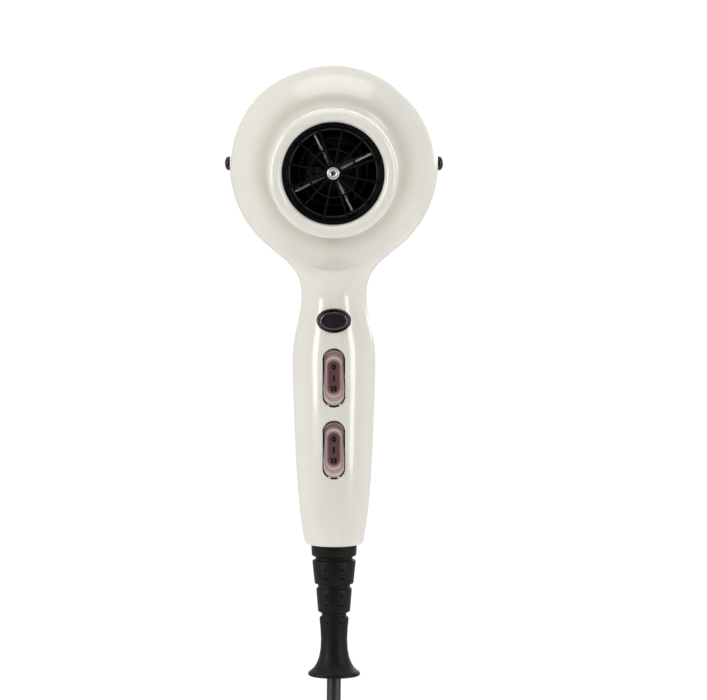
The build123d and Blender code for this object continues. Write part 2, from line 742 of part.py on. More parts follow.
for switch_name, switch_z in (("speed", speed_switch_z), ("heat", heat_switch_z)):
    pivot_y = grip_front[switch_z] + rocker_pivot_depth

    with BuildPart() as switch_body:
        for side in (-1, 1):
            cheek_x = side * (body_half - cheek / 2)
            with BuildSketch(facing_front(pivot_y + 4.3, switch_z)):
                with Locations((cheek_x, 0)):
                    Rectangle(cheek, 14)
            extrude(amount=4.3 + 1.7)
        with BuildSketch(facing_front(pivot_y + 11.0, switch_z)):
            Rectangle(2 * body_half, 20.8)
        extrude(amount=6.8)
        with BuildSketch(Plane(origin=(0, pivot_y, switch_z), z_dir=(1, 0, 0)).offset(-body_half - 1)):
            Circle(rocker_pin_radius)
        extrude(amount=2 * body_half + 2, mode=Mode.SUBTRACT)
    switch_body.part.label = switch_name + "_switch_body"
    export_step(switch_body.part, "parts/" + switch_name + "_switch_body.step")

    with BuildPart() as rocker_pin:
        with BuildSketch(Plane(origin=(0, pivot_y, switch_z), z_dir=(1, 0, 0)).offset(-body_half)):
            Circle(rocker_pin_radius)
        extrude(amount=2 * body_half)
    rocker_pin.part.label = switch_name + "_rocker_pin"
    export_step(rocker_pin.part, "parts/" + switch_name + "_rocker_pin.step")

    # the rocker is drawn on a plane that leans back, with its upper end pressed in
    lean = radians(rocker_tilt)
    tilted = Plane(origin=(0, pivot_y, switch_z), x_dir=(1, 0, 0), z_dir=(0, -cos(lean), sin(lean)))
    tip = rocker_pivot_depth + rocker_proud
    with BuildPart() as rocker:
        with BuildSketch(tilted.offset(2.0)):
            SlotOverall(rocker_length, rocker_width, rotation=90)
        extrude(amount=tip - 2.0)
        saddle_centre = tilted.from_local_coords(Vector(0, 0, tip - saddle_depth + saddle_radius))
        with BuildSketch(Plane(origin=saddle_centre, z_dir=(1, 0, 0)).offset(-rocker_width)):
            Circle(saddle_radius)
        extrude(amount=2 * rocker_width, mode=Mode.SUBTRACT)
        with BuildSketch(Plane(origin=(0, pivot_y, switch_z), z_dir=(1, 0, 0)).offset(-rocker_width / 2)):
            Circle(3.0)
        extrude(amount=rocker_width)
        with BuildSketch(Plane(origin=(0, pivot_y, switch_z), z_dir=(1, 0, 0)).offset(-rocker_width)):
            Circle(rocker_pin_radius + running_gap)
        extrude(amount=2 * rocker_width, mode=Mode.SUBTRACT)
    rocker.part.label = switch_name + "_rocker"
    export_step(rocker.part, "parts/" + switch_name + "_rocker.step")

with BuildPart() as switch_terminals:
    for switch_z in (speed_switch_z, heat_switch_z):
        with BuildSketch(across(grip_front[switch_z] + rocker_pivot_depth + 11.02)):
            with Locations((0, switch_z - 7), (0, switch_z), (0, switch_z + 7)):
                Rectangle(4.8, 0.8)
        extrude(amount=5.5)
switch_terminals.part.label = "switch_terminals"
export_step(switch_terminals.part, "parts/switch_terminals.step")

# ---------------------------------------------------------------- cool-shot button
cool_front = grip_front[cool_shot_z]
proud_form = handle_form(0.7)
button_form = handle_form(2.4)
neck_inset = 0.8
button_gap = 0.35

with BuildPart() as cool_shot_bezel:
    with BuildSketch(facing_front(head_y - 9, cool_shot_z)):
        Ellipse(cool_shot_width / 2, cool_shot_height / 2)
    extrude(amount=20)
    add(proud_form, mode=Mode.INTERSECT)
    add(outer_handle, mode=Mode.SUBTRACT)
    # the neck that passes through the shell
    with BuildPart(mode=Mode.PRIVATE) as neck:
        with BuildSketch(facing_front(cool_front + 5.2, cool_shot_z)):
            Ellipse(cool_shot_width / 2 - neck_inset, cool_shot_height / 2 - neck_inset)
        extrude(amount=10)
        add(proud_form, mode=Mode.INTERSECT)
    add(neck.part)
    with BuildSketch(facing_front(head_y, cool_shot_z)):
        Ellipse(cool_shot_width / 2 - cool_shot_rim, cool_shot_height / 2 - cool_shot_rim)
    extrude(amount=2 * head_radius, mode=Mode.SUBTRACT)
cool_shot_bezel.part.label = "cool_shot_bezel"
export_step(cool_shot_bezel.part, "parts/cool_shot_bezel.step")

button_half_width = cool_shot_width / 2 - cool_shot_rim - button_gap
button_half_height = cool_shot_height / 2 - cool_shot_rim - button_gap
button_back = cool_front + 5.0
with BuildPart() as cool_shot_button:
    with BuildSketch(facing_front(button_back, cool_shot_z)):
        Ellipse(button_half_width, button_half_height)
    extrude(amount=10)
    add(button_form, mode=Mode.INTERSECT)
    fillet(cool_shot_button.faces().sort_by(Axis.Y)[0].edges(), 0.7)
    with BuildSketch(facing_front(button_back + 3.4, cool_shot_z)):
        Circle(1.5)
    extrude(amount=3.6)
cool_shot_button.part.label = "cool_shot_button"
export_step(cool_shot_button.part, "parts/cool_shot_button.step")

micro_front = button_back + 3.4 + cool_shot_travel + 0.2
with BuildPart() as cool_shot_switch:
    with BuildSketch(facing_front(micro_front + 6.0, cool_shot_z)):
        RectangleRounded(12, 6.4, 0.6)
    extrude(amount=6.0)
cool_shot_switch.part.label = "cool_shot_switch"
export_step(cool_shot_switch.part, "parts/cool_shot_switch.step")

spring_radius = 2.3
spring_wire = 0.3
spring_length = micro_front - button_back - 2 * spring_wire - 0.1
with BuildPart() as cool_shot_spring:
    spring_start = (0, button_back + spring_wire + 0.05, cool_shot_z)
    with BuildLine() as spring_path:
        Helix(pitch=1.3, height=spring_length, radius=spring_radius, center=spring_start, direction=(0, 1, 0))
    with BuildSketch(Plane(origin=spring_path.line @ 0, z_dir=spring_path.line % 0)):
        Circle(spring_wire)
    sweep(path=spring_path.line, is_frenet=True)
cool_shot_spring.part.label = "cool_shot_spring"
export_step(cool_shot_spring.part, "parts/cool_shot_spring.step")

# ---------------------------------------------------------------- cord entry
relief_collar = foot_z - 5
relief_end = foot_z - 58

with BuildPart() as strain_relief:
    with BuildSketch(Plane.XZ.offset(-head_y)):
        with BuildLine():
            Polyline(
                (cord_radius + 0.05, foot_z + wall + 1.4),
                (relief_flange_radius, foot_z + wall + 1.4),
                (relief_flange_radius, foot_z + wall + 0.05),
                (relief_neck_radius, foot_z + wall + 0.05),
                (relief_neck_radius, foot_z - 0.05),
                (10.0, foot_z - 0.05),
                (9.7, relief_collar),
                (8.1, relief_collar - 0.6),
                (8.1, relief_collar - 1.6),
                (9.5, relief_collar - 2.2),
                (8.5, relief_collar - 12.2),
                (7.0, relief_collar - 12.8),
                (7.0, relief_collar - 14.0),
                (7.8, relief_collar - 14.6),
                (7.0, relief_collar - 24.6),
                (5.4, relief_collar - 25.4),
                (5.4, relief_collar - 26.6),
                (6.4, relief_collar - 27.4),
            )
            ThreePointArc(
                (6.4, relief_collar - 27.4),
                (5.7, relief_collar - 37.0),
                (6.6, relief_collar - 45.0),
            )
            ThreePointArc(
                (6.6, relief_collar - 45.0),
                (8.6, relief_collar - 49.4),
                (11.4, relief_collar - 51.4),
            )
            Polyline(
                (11.4, relief_collar - 51.4),
                (11.2, relief_end),
                (cord_radius + 0.05, relief_end),
                (cord_radius + 0.05, foot_z + wall + 1.4),
            )
        make_face()
    revolve(axis=Axis((0, head_y, 0), (0, 0, 1)))
strain_relief.part.label = "strain_relief"
export_step(strain_relief.part, "parts/strain_relief.step")

with BuildPart() as cord_clamp:
    with BuildSketch(Plane.XY.offset(clamp_z - 3)):
        with Locations((0, clamp_bar_y + 2)):
            RectangleRounded(18, 4, 0.8)
        with Locations((0, head_y)):
            Circle(cord_radius, mode=Mode.SUBTRACT)
    extrude(amount=6)
    for x in (-clamp_screw_x, clamp_screw_x):
        add(drilled((x, head_y, clamp_z), screw_radius, 0, 9, backward), mode=Mode.SUBTRACT)
cord_clamp.part.label = "cord_clamp"
export_step(cord_clamp.part, "parts/cord_clamp.step")

with BuildPart() as clamp_screws:
    for x in (-clamp_screw_x, clamp_screw_x):
        with BuildSketch(across(head_y - 8)):
            with Locations((-x, clamp_z)):
                Circle(screw_radius - 0.02)
        extrude(amount=clamp_bar_y + 4.1 - head_y + 8)
        with BuildSketch(across(clamp_bar_y + 4.02)):
            with Locations((-x, clamp_z)):
                Circle(screw_head_radius - 0.3)
        extrude(amount=1.6)
clamp_screws.part.label = "clamp_screws"
export_step(clamp_screws.part, "parts/clamp_screws.step")

terminal_x = 5.0
terminal_y = head_y + 6.9
with BuildPart() as terminal_block:
    with BuildSketch(Plane.XY.offset(foot_z + 15)):
        with Locations((0, terminal_y)):
            RectangleRounded(16, 6.6, 1)
    extrude(amount=6)
    with BuildSketch(Plane.XY.offset(foot_z + 14)):
        with Locations((-terminal_x, terminal_y), (terminal_x, terminal_y)):
            Circle(1.3)
    extrude(amount=8, mode=Mode.SUBTRACT)
terminal_block.part.label = "terminal_block"
export_step(terminal_block.part, "parts/terminal_block.step")

# ---------------------------------------------------------------- wires inside
wire_radius = 1.1
for wire_name, side in (("live_wire", 1), ("neutral_wire", -1)):
    with BuildPart() as wire:
        with BuildLine() as wire_path:
            FilletPolyline(
                (side * terminal_x, terminal_y, foot_z + 21.5),
                (side * 6.2, terminal_y + 0.5, foot_z + 25.5),
                (side * 7.0, head_y + 8, foot_z + 38),
                (side * 7.0, head_y + 8, neck_z + 2),
                (side * 6.6, head_y - 6, under_head - 1),
                (side * 6.4, carrier_front - 3.2, under_head + 21),
                (side * 6.2, carrier_front - 4.6, under_head + 30),
                radius=4,
            )
        with BuildSketch(Plane(origin=wire_path.line @ 0, z_dir=wire_path.line % 0)):
            Circle(wire_radius)
        sweep(path=wire_path.line)
    wire.part.label = wire_name
    export_step(wire.part, "parts/" + wire_name + ".step")

# the last of the cord's sheath, held by the clamp and running down inside the strain relief
cord_exit_z = relief_end
cord_start_z = cord_exit_z + 25

with BuildPart() as cord_inner_end:
    with BuildSketch(Plane.XY.offset(cord_start_z)):
        with Locations((0, head_y)):
            Circle(cord_radius)
    extrude(amount=foot_z + 14 - cord_start_z)
cord_inner_end.part.label = "cord_inner_end"
export_step(cord_inner_end.part, "parts/cord_inner_end.step")

# ---------------------------------------------------------------- free cord, hank and plug
# The cord hangs straight down from the strain relief into a tied hank that hangs in line
# with the handle, and comes out of the hank's lower end into the plug.
route_down = [
    (0.0, 80.0, -199.0),
    (0.0, 80.0, -238.0),
    (-1.0, 79.6, -272.0),
]
route_plug = [
    (2.4, 80.2, -394.0),
    (1.6, 80.0, -411.0),
    (0.0, 80.6, -427.0),
]


def corner_radii(points):
    """Arc radius for each corner of a route: as large as its two runs allow."""
    radii = []
    for before, corner, after in zip(points, points[1:], points[2:]):
        run_in = Vector(*corner) - Vector(*before)
        run_out = Vector(*after) - Vector(*corner)
        half_turn = radians(run_in.get_angle(run_out)) / 2
        radii.append(0.45 * min(run_in.length, run_out.length) / tan(half_turn))
    return radii


for tube_name, route in (("power_cord", route_down), ("plug_cord", route_plug)):
    radii = corner_radii(route)
    with BuildPart() as tube:
        with BuildLine() as tube_path:
            FilletPolyline(*route, radius=radii)
        with BuildSketch(Plane(origin=tube_path.line @ 0, z_dir=tube_path.line % 0)):
            Circle(cord_radius)
        sweep(path=tube_path.line)
    tube.part.label = tube_name
    export_step(tube.part, "parts/" + tube_name + ".step")
    expected = pi * cord_radius**2 * tube_path.wires()[0].length
    print(tube_name, "radii", [round(r) for r in radii], "volume / expected", round(tube.part.volume / expected, 4))

hank_top = -268.0
hank_height = 130.0
hank_y = head_y + 9.6  # the cord runs down the front of the hank
hank_waist_width = 31.0
hank_waist_depth = 28.0
hank_waist_height = 12.0
# (share of the way from the end to the waist, half width, half depth)
hank_sections = [
    (0.0, 8.0, 12.6),
    (0.06, 17.0, 13.4),
    (0.15, 23.5, 13.8),
    (0.30, 28.0, 14.0),
    (0.45, 28.5, 14.0),
    (0.65, 24.5, 14.0),
    (0.85, 18.0, 14.0),
    (1.0, hank_waist_width / 2, hank_waist_depth / 2),
]
hank_middle = hank_top - hank_height / 2
hank_half = (hank_height - hank_waist_height) / 2

with BuildPart() as cord_hank:
    with BuildSketch(Plane.XY.offset(hank_middle - hank_waist_height / 2)):
        with Locations((0, hank_y)):
            Ellipse(hank_waist_width / 2, hank_waist_depth / 2)
    extrude(amount=hank_waist_height)
    for end in (-1, 1):
        with BuildPart(mode=Mode.PRIVATE) as bundle_end:
            for share, half_width, deep in hank_sections:
                height = hank_middle + end * (hank_half * (1 - share) + hank_waist_height / 2)
                with BuildSketch(Plane.XY.offset(height)):
                    with Locations((0, hank_y)):
                        Ellipse(half_width, deep)
            loft()
        add(bundle_end.part)
cord_hank.part.label = "cord_hank"
export_step(cord_hank.part, "parts/cord_hank.step")

tie_thickness = 1.6
tie_height = 9.0
with BuildPart() as hank_tie:
    with BuildSketch(Plane.XY.offset(hank_middle - tie_height / 2)):
        with Locations((0, hank_y)):
            Ellipse(hank_waist_width / 2 + tie_thickness, hank_waist_depth / 2 + tie_thickness)
            Ellipse(hank_waist_width / 2 + 0.05, hank_waist_depth / 2 + 0.05, mode=Mode.SUBTRACT)
    extrude(amount=tie_height)
hank_tie.part.label = "hank_tie"
export_step(hank_tie.part, "parts/hank_tie.step")

plug_y = route_plug[-1][1]
plug_top = route_plug[-1][2]
plug_neck = 13.0
plug_length = 35.0
plug_face = plug_top - plug_neck - plug_length
pin_radius = 2.4
pin_length = 19.0
pin_spacing = 19.0
# (distance under the neck, width, depth)
plug_sections = [
    (0.0, 11.0, 10.6),
    (6.0, 17.0, 13.0),
    (13.0, 30.0, 16.0),
    (20.0, 36.0, 17.0),
    (plug_length, 37.0, 17.0),
]

with BuildPart() as plug_body:
    for down, width, deep in plug_sections:
        with BuildSketch(Plane.XY.offset(plug_top - plug_neck - down)):
            with Locations((0, plug_y)):
                RectangleRounded(width, deep, min(width, deep) / 2 - 0.2)
    loft()
    with BuildSketch(Plane.XY.offset(plug_top)):
        with Locations((0, plug_y)):
            Circle(cord_radius + 0.9)
    with BuildSketch(Plane.XY.offset(plug_top - plug_neck)):
        with Locations((0, plug_y)):
            Circle(5.2)
    loft()
plug_body.part.label = "plug_body"
export_step(plug_body.part, "parts/plug_body.step")

with BuildPart() as plug_pins:
    with BuildSketch(Plane.XY.offset(plug_face - pin_length)):
        with Locations((-pin_spacing / 2, plug_y), (pin_spacing / 2, plug_y)):
            Circle(pin_radius)
    extrude(amount=pin_length)
    chamfer(plug_pins.edges().filter_by(GeomType.CIRCLE).group_by(Axis.Z)[0], 0.8)
plug_pins.part.label = "plug_pins"
export_step(plug_pins.part, "parts/plug_pins.step")
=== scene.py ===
# %% [markdown]
# # A hair dryer, hung up by its outlet ring
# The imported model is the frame: it holds every size, place and joint. This lesson puts good
# surfaces on it. A smooth moulded body, a grille, switches, a rubber strain relief and a cord
# are modelled with Blender's own operators, and every surface gets a node material.

import bpy
from math import asin, cos, pi, radians, sin
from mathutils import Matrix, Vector


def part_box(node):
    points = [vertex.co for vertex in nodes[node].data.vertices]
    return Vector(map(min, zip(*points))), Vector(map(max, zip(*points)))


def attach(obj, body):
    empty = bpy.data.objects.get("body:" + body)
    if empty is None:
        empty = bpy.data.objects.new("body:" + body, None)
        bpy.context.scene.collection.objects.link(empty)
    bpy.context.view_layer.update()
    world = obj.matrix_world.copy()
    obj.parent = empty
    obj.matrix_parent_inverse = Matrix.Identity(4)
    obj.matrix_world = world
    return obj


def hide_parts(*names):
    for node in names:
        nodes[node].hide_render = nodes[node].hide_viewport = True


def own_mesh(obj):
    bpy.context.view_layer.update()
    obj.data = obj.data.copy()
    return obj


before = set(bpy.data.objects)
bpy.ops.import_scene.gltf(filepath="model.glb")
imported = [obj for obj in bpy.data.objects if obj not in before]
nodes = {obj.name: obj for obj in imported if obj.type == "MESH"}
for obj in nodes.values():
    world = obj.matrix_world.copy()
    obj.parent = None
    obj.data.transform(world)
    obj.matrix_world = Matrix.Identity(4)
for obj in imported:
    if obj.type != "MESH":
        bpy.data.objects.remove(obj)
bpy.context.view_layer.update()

# %% [markdown]
# ## Sizes
# A piece's place comes from the frame's boxes, in metres. The handle's axis and the joint of
# the two shells share one plane, so it is read once and used everywhere.

# %% Sizes read from the frame
MM = 0.001
shell_low, shell_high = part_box("front_shell")
SEAM_Y = shell_high.y
AXIS_Y = SEAM_Y
FOOT_Z = shell_low.z
HEAD_RADIUS = shell_high.z
WALL = 2.4 * MM
SPEED_Z, HEAT_Z, COOL_Z = -91.5, -122.9, -66.7  # the middles of the switches, in millimetres
print("head radius", round(HEAD_RADIUS, 4), "seam at y", round(SEAM_Y, 4), "foot at z", round(FOOT_Z, 4))

# %% [markdown]
# ## The camera
# The dryer is seen from the front, from a little above the barrel, through a long lens, so the
# outlet nearly hides the barrel behind it. The camera comes first, because what it doesn't
# see is where the spare cord may be stored.

# %% Camera
VIEW_DISTANCE = 2.2
camera_data = bpy.data.cameras.new("view_camera")
camera = bpy.data.objects.new("view_camera", camera_data)
bpy.context.scene.collection.objects.link(camera)
camera_data.lens = 258
camera_data.sensor_width = 36
camera.location = (0.0085, AXIS_Y - VIEW_DISTANCE, 0.104)
look_at = Vector((0.0085, AXIS_Y, -0.081))
camera.rotation_euler = (look_at - camera.location).to_track_quat("-Z", "Y").to_euler()
bpy.context.scene.camera = camera
print("camera pitch", round(camera.rotation_euler.x * 180 / pi - 90, 2))

# %% [markdown]
# ## Helpers for modelling
# Operators act on whatever is selected, so a few helpers do the selecting: one clears it, one
# picks vertices, edges or faces by where they are, and one finishes a piece, which leaves its
# object at the origin with its place in its mesh.

# %% Selecting and finishing
def clear_selection():
    if bpy.context.object and bpy.context.object.mode != "OBJECT":
        bpy.ops.object.mode_set(mode="OBJECT")
    bpy.ops.object.select_all(action="DESELECT")


def edit_all():
    """Edit mode with every vertex of the active piece selected."""
    bpy.ops.object.mode_set(mode="EDIT")
    bpy.ops.mesh.select_mode(type="VERT")
    bpy.ops.mesh.select_all(action="SELECT")


def take(piece):
    """Makes one piece the only selected and active one."""
    clear_selection()
    piece.select_set(True)
    bpy.context.view_layer.objects.active = piece
    return piece


MODES = {"vertices": "VERT", "edges": "EDGE", "polygons": "FACE"}


def centre_of(mesh, item):
    """Middle of a vertex, an edge or a face."""
    if hasattr(item, "co"):
        return item.co.copy()
    corners = [mesh.vertices[i].co for i in item.vertices]
    return sum(corners, Vector()) / len(corners)


def pick(piece, kind, wanted):
    """In edit mode, selects the vertices, edges or polygons whose middle passes a test."""
    if piece.mode != "OBJECT":
        bpy.ops.object.mode_set(mode="OBJECT")
    mesh = piece.data
    chosen = [wanted(centre_of(mesh, item)) for item in getattr(mesh, kind)]
    bpy.ops.object.mode_set(mode="EDIT")
    bpy.ops.mesh.select_mode(type=MODES[kind])
    bpy.ops.mesh.select_all(action="DESELECT")
    bpy.ops.object.mode_set(mode="OBJECT")
    for item, on in zip(getattr(mesh, kind), chosen):
        item.select = on
    bpy.ops.object.mode_set(mode="EDIT")
    bpy.ops.mesh.select_mode(type=MODES[kind])
    return sum(chosen)


def apply_modifier(piece, kind, **settings):
    """Adds a modifier, sets it and applies it."""
    take(piece)
    modifier = piece.modifiers.new(kind.lower(), kind)
    for name, value in settings.items():
        setattr(modifier, name, value)
    bpy.ops.object.modifier_apply(modifier=modifier.name)


def finish_piece(piece, name, material, body="root", instead_of=(), sharp=35):
    """Names a piece, bakes its place into its mesh, and says what it rides on and replaces."""
    take(piece)
    bpy.ops.object.transform_apply(location=True, rotation=True, scale=True)
    edit_all()
    bpy.ops.mesh.normals_make_consistent(inside=False)
    bpy.ops.object.mode_set(mode="OBJECT")
    bpy.ops.object.shade_smooth_by_angle(angle=radians(sharp))
    piece.name = name
    piece.data.name = name
    piece.data.materials.clear()
    piece.data.materials.append(material)
    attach(piece, body)
    if instead_of:
        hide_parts(*instead_of)
    print(name, len(piece.data.polygons), "faces")
    return piece


# %% [markdown]
# Many pieces here are round. On a lathe they would be turned; here a circle is extruded ring
# by ring along its axis and resized at each step, which gives clean quads all the way.
# A turned piece is given as stations: how far along the axis, and the radius there.

# %% Turning
TURNED_ROTATION = {"X": (0, pi / 2, 0), "Y": (-pi / 2, 0, 0), "Z": (0, 0, 0)}
AXIS_INDEX = {"X": 0, "Y": 1, "Z": 2}


def in_metres(points):
    """The same points, when they are given in millimetres."""
    return [(along * MM, across * MM) for along, across in points]


def turned(stations, axis="Y", centre=(0, 0, 0), vertices=64, closed=False, capped=False, squash=(1, 1, 1)):
    """A round mesh through stations (along, radius). closed joins the last ring to the first."""
    clear_selection()
    index = AXIS_INDEX[axis]
    place = Vector(centre)
    along, radius = stations[0]
    place[index] = centre[index] + along
    bpy.ops.mesh.primitive_circle_add(
        vertices=vertices, radius=radius, location=place, rotation=TURNED_ROTATION[axis]
    )
    piece = bpy.context.object
    bpy.ops.object.transform_apply(location=True, rotation=True, scale=True)
    edit_all()
    if capped:
        bpy.ops.mesh.edge_face_add()
        bpy.ops.mesh.select_all(action="SELECT")
    if squash != (1, 1, 1):
        bpy.ops.transform.resize(value=squash, center_override=place)
    for next_along, next_radius in stations[1:]:
        step = Vector((0, 0, 0))
        step[index] = next_along - along
        place = place + step
        factor = [next_radius / radius] * 3
        factor[index] = 1
        bpy.ops.mesh.extrude_region_move(TRANSFORM_OT_translate={"value": step})
        bpy.ops.transform.resize(value=factor, center_override=place)
        along, radius = next_along, next_radius
    if closed:
        bpy.ops.mesh.select_all(action="SELECT")
        bpy.ops.mesh.remove_doubles(threshold=1e-6)
    bpy.ops.object.mode_set(mode="OBJECT")
    return piece


def arc(middle_along, middle_radius, size, start, end, steps):
    """Stations on an arc; angles in degrees, 0 towards the axis's end and 90 outwards."""
    turns = [start + (end - start) * i / steps for i in range(steps + 1)]
    return [(middle_along + size * cos(radians(t)), middle_radius + size * sin(radians(t))) for t in turns]


def joined(pieces):
    """Joins pieces into the first of them."""
    clear_selection()
    for piece in pieces:
        piece.select_set(True)
    bpy.context.view_layer.objects.active = pieces[0]
    bpy.ops.object.join()
    return bpy.context.object


def copied(piece):
    """A copy with its own mesh."""
    take(piece)
    bpy.ops.object.duplicate()
    return bpy.context.object


def cut(piece, cutter, operation="DIFFERENCE"):
    """Cuts one closed piece with another, and removes the cutter."""
    apply_modifier(piece, "BOOLEAN", object=cutter, operation=operation, solver="EXACT")
    bpy.data.objects.remove(cutter, do_unlink=True)


def rounded_box(centre, size, edge, segments=3):
    """A box with rounded edges."""
    clear_selection()
    bpy.ops.mesh.primitive_cube_add(size=1, location=centre, scale=size)
    piece = bpy.context.object
    bpy.ops.object.transform_apply(location=True, rotation=True, scale=True)
    edit_all()
    bpy.ops.mesh.bevel(offset=edge, segments=segments, affect="EDGES")
    bpy.ops.object.mode_set(mode="OBJECT")
    return piece


# %% [markdown]
# ## The mains cord
# The real lead is 1.8 m of round rubber-covered cable. It hangs straight down out of the
# strain relief. The rest of it is folded into a hank below the view, as it is for storage,
# and its plug hangs under the hank. One NURBS curve carries the whole line, so the cord is
# one smooth tube. The hank's turns are worked out in a loop: each turn goes down one side,
# round the bottom, up the other side and round the top, and is drawn in at the waist.

# %% The cord's route
CORD_DIAMETER = 6.2 * MM
LOOP_RISE = 36.6  # from the waist to the middle of the end loops, in millimetres
WAIST_Z = -333.0


def half_loop(radius, waist):
    """Corners from a waist to the middle of an end loop, as (sideways, away from the waist).

    The end loop is an arc and the waist an arc the other way, tangent to each other.
    The corners lie on the line that touches both arcs.
    """
    waist_arc = (LOOP_RISE**2 + waist**2 - radius**2) / (2 * (radius - waist))
    lean = asin(LOOP_RISE / (radius + waist_arc))
    step = (pi / 2 + lean) / 3
    reach = waist_arc / cos(lean / 2)
    corners = [(waist + waist_arc - reach * cos(lean / 2), reach * sin(lean / 2))]
    for i in range(3):
        turn = -lean + step * (i + 0.5)
        out = radius / cos(step / 2)
        corners.append((out * cos(turn), LOOP_RISE + out * sin(turn)))
    return corners


def hank_turn(start, end, side, up):
    """Round one end loop, from the waist on one side to the waist on the other.

    start and end are (radius, waist, y); up is 1 for a top loop and -1 for a bottom loop.
    """
    corners = half_loop(*start[:2]) + [(-x, rise) for x, rise in reversed(half_loop(*end[:2]))]
    points = []
    for i, (x, rise) in enumerate(corners):
        share = min(max((i - 1) / 5, 0), 1)
        points.append((side * x, start[2] + (end[2] - start[2]) * share, WAIST_Z + up * rise))
    return points


def inner(y):
    return (20.6, 3.3, y)


def outer(y):
    return (26.8, 9.9, y)


route = [(0, 80, -199), (0, 80, -238), (-1.2, 78.2, -264), (-3.0, 81.4, -290), (-3.3, 85.4, -317)]
route += hank_turn(inner(86.4), inner(86.4), -1, -1)
route += hank_turn(inner(86.4), inner(92.8), 1, 1)
route += hank_turn(inner(92.8), inner(92.8), -1, -1)
route += hank_turn(inner(92.8), inner(99.2), 1, 1)
route += hank_turn(inner(99.2), (21.6, 5.6, 101.4), -1, -1)
route += hank_turn((25.0, 8.2, 103.0), outer(96.2), 1, 1)
route += hank_turn(outer(96.2), outer(96.2), -1, -1)
route += hank_turn(outer(96.2), outer(89.6), 1, 1)
route += hank_turn(outer(89.6), outer(89.6), -1, -1)
route += hank_turn(outer(89.6), outer(81.0), 1, 1)
# the last strand leaves the hank at its front and hangs down to the plug
route += [(-8.6, 79.4, -356), (-3.0, 79.6, -392), (0, 80.0, -411), (0, 80.6, -427)]

cord_curve = bpy.data.curves.new("mains_cord", "CURVE")
cord_curve.dimensions = "3D"
spline = cord_curve.splines.new("NURBS")
spline.points.add(len(route) - 1)
for point, (x, y, z) in zip(spline.points, route):
    point.co = (x * MM, y * MM, z * MM, 1)
    point.radius = CORD_DIAMETER / 2
spline.order_u = 3
spline.use_endpoint_u = True
cord_curve.resolution_u = 12
cord_curve.bevel_depth = 1.0  # times each point's radius
cord_curve.bevel_resolution = 6
mains_cord = bpy.data.objects.new("mains_cord", cord_curve)
bpy.context.scene.collection.objects.link(mains_cord)
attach(mains_cord, "root")
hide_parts("power_cord", "plug_cord", "cord_hank")
print("cord control points", len(route))

# %% [markdown]
# ## Shared effects for the materials
# Moulded plastic, sheet metal and rubber are never perfectly even. Four small node groups are
# made once and placed in each material with its own values: fine grain, a cloudy drift of tone,
# worn edges, and dust that settles on what faces up. They only put out colours, masks and
# values; the shader itself stays in each material.

# %% Node helpers
def new_group(name, inputs, outputs):
    """A shader node group with its input and output sockets, and its two end nodes."""
    group = bpy.data.node_groups.new(name, "ShaderNodeTree")
    for label, kind, value in inputs:
        socket = group.interface.new_socket(name=label, in_out="INPUT", socket_type="NodeSocket" + kind)
        socket.default_value = value
    for label, kind in outputs:
        group.interface.new_socket(name=label, in_out="OUTPUT", socket_type="NodeSocket" + kind)
    return group, group.nodes.new("NodeGroupInput"), group.nodes.new("NodeGroupOutput")


def maths(tree, operation, first, second=None, third=None):
    """A Math node; each entry is a socket or a number."""
    made = tree.nodes.new("ShaderNodeMath")
    made.operation = operation
    for i, value in enumerate((first, second, third)):
        if isinstance(value, (int, float)):
            made.inputs[i].default_value = value
        elif value is not None:
            tree.links.new(value, made.inputs[i])
    return made.outputs[0]


def noise(tree, scale, detail=3.0, roughness=0.55, stretch=None):
    """Noise on Object coordinates. stretch scales the pattern along X, Y and Z."""
    place = tree.nodes.new("ShaderNodeTexCoord").outputs["Object"]
    if stretch:
        mapping = tree.nodes.new("ShaderNodeMapping")
        mapping.inputs["Scale"].default_value = stretch
        tree.links.new(place, mapping.inputs["Vector"])
        place = mapping.outputs["Vector"]
    texture = tree.nodes.new("ShaderNodeTexNoise")
    tree.links.new(place, texture.inputs["Vector"])
    if isinstance(scale, (int, float)):
        texture.inputs["Scale"].default_value = scale
    else:
        tree.links.new(scale, texture.inputs["Scale"])
    texture.inputs["Detail"].default_value = detail
    texture.inputs["Roughness"].default_value = roughness
    return texture.outputs["Fac"]


def ramp(tree, value, low, high):
    """0 below low, 1 above high, smooth between. Sizes in millimetres."""
    made = tree.nodes.new("ShaderNodeMapRange")
    made.interpolation_type = "SMOOTHSTEP"
    made.inputs["From Min"].default_value = low * MM
    made.inputs["From Max"].default_value = high * MM
    tree.links.new(value, made.inputs["Value"])
    return made.outputs["Result"]


def blend_colours(tree, share, first, second, how="MIX"):
    """A colour Mix node; each colour is a socket or four numbers, and share a socket or a number."""
    made = tree.nodes.new("ShaderNodeMix")
    made.data_type = "RGBA"
    made.blend_type = how
    for socket, value in (
        (made.inputs["Factor"], share), (made.inputs[6], first), (made.inputs[7], second),
    ):
        if isinstance(value, (int, float, tuple)):
            socket.default_value = value
        else:
            tree.links.new(value, socket)
    return made.outputs[2]


# %% [markdown]
# Fine grain is a small noise that feeds a Bump node, with a broader one that makes some places
# a little duller than others, as handling does.

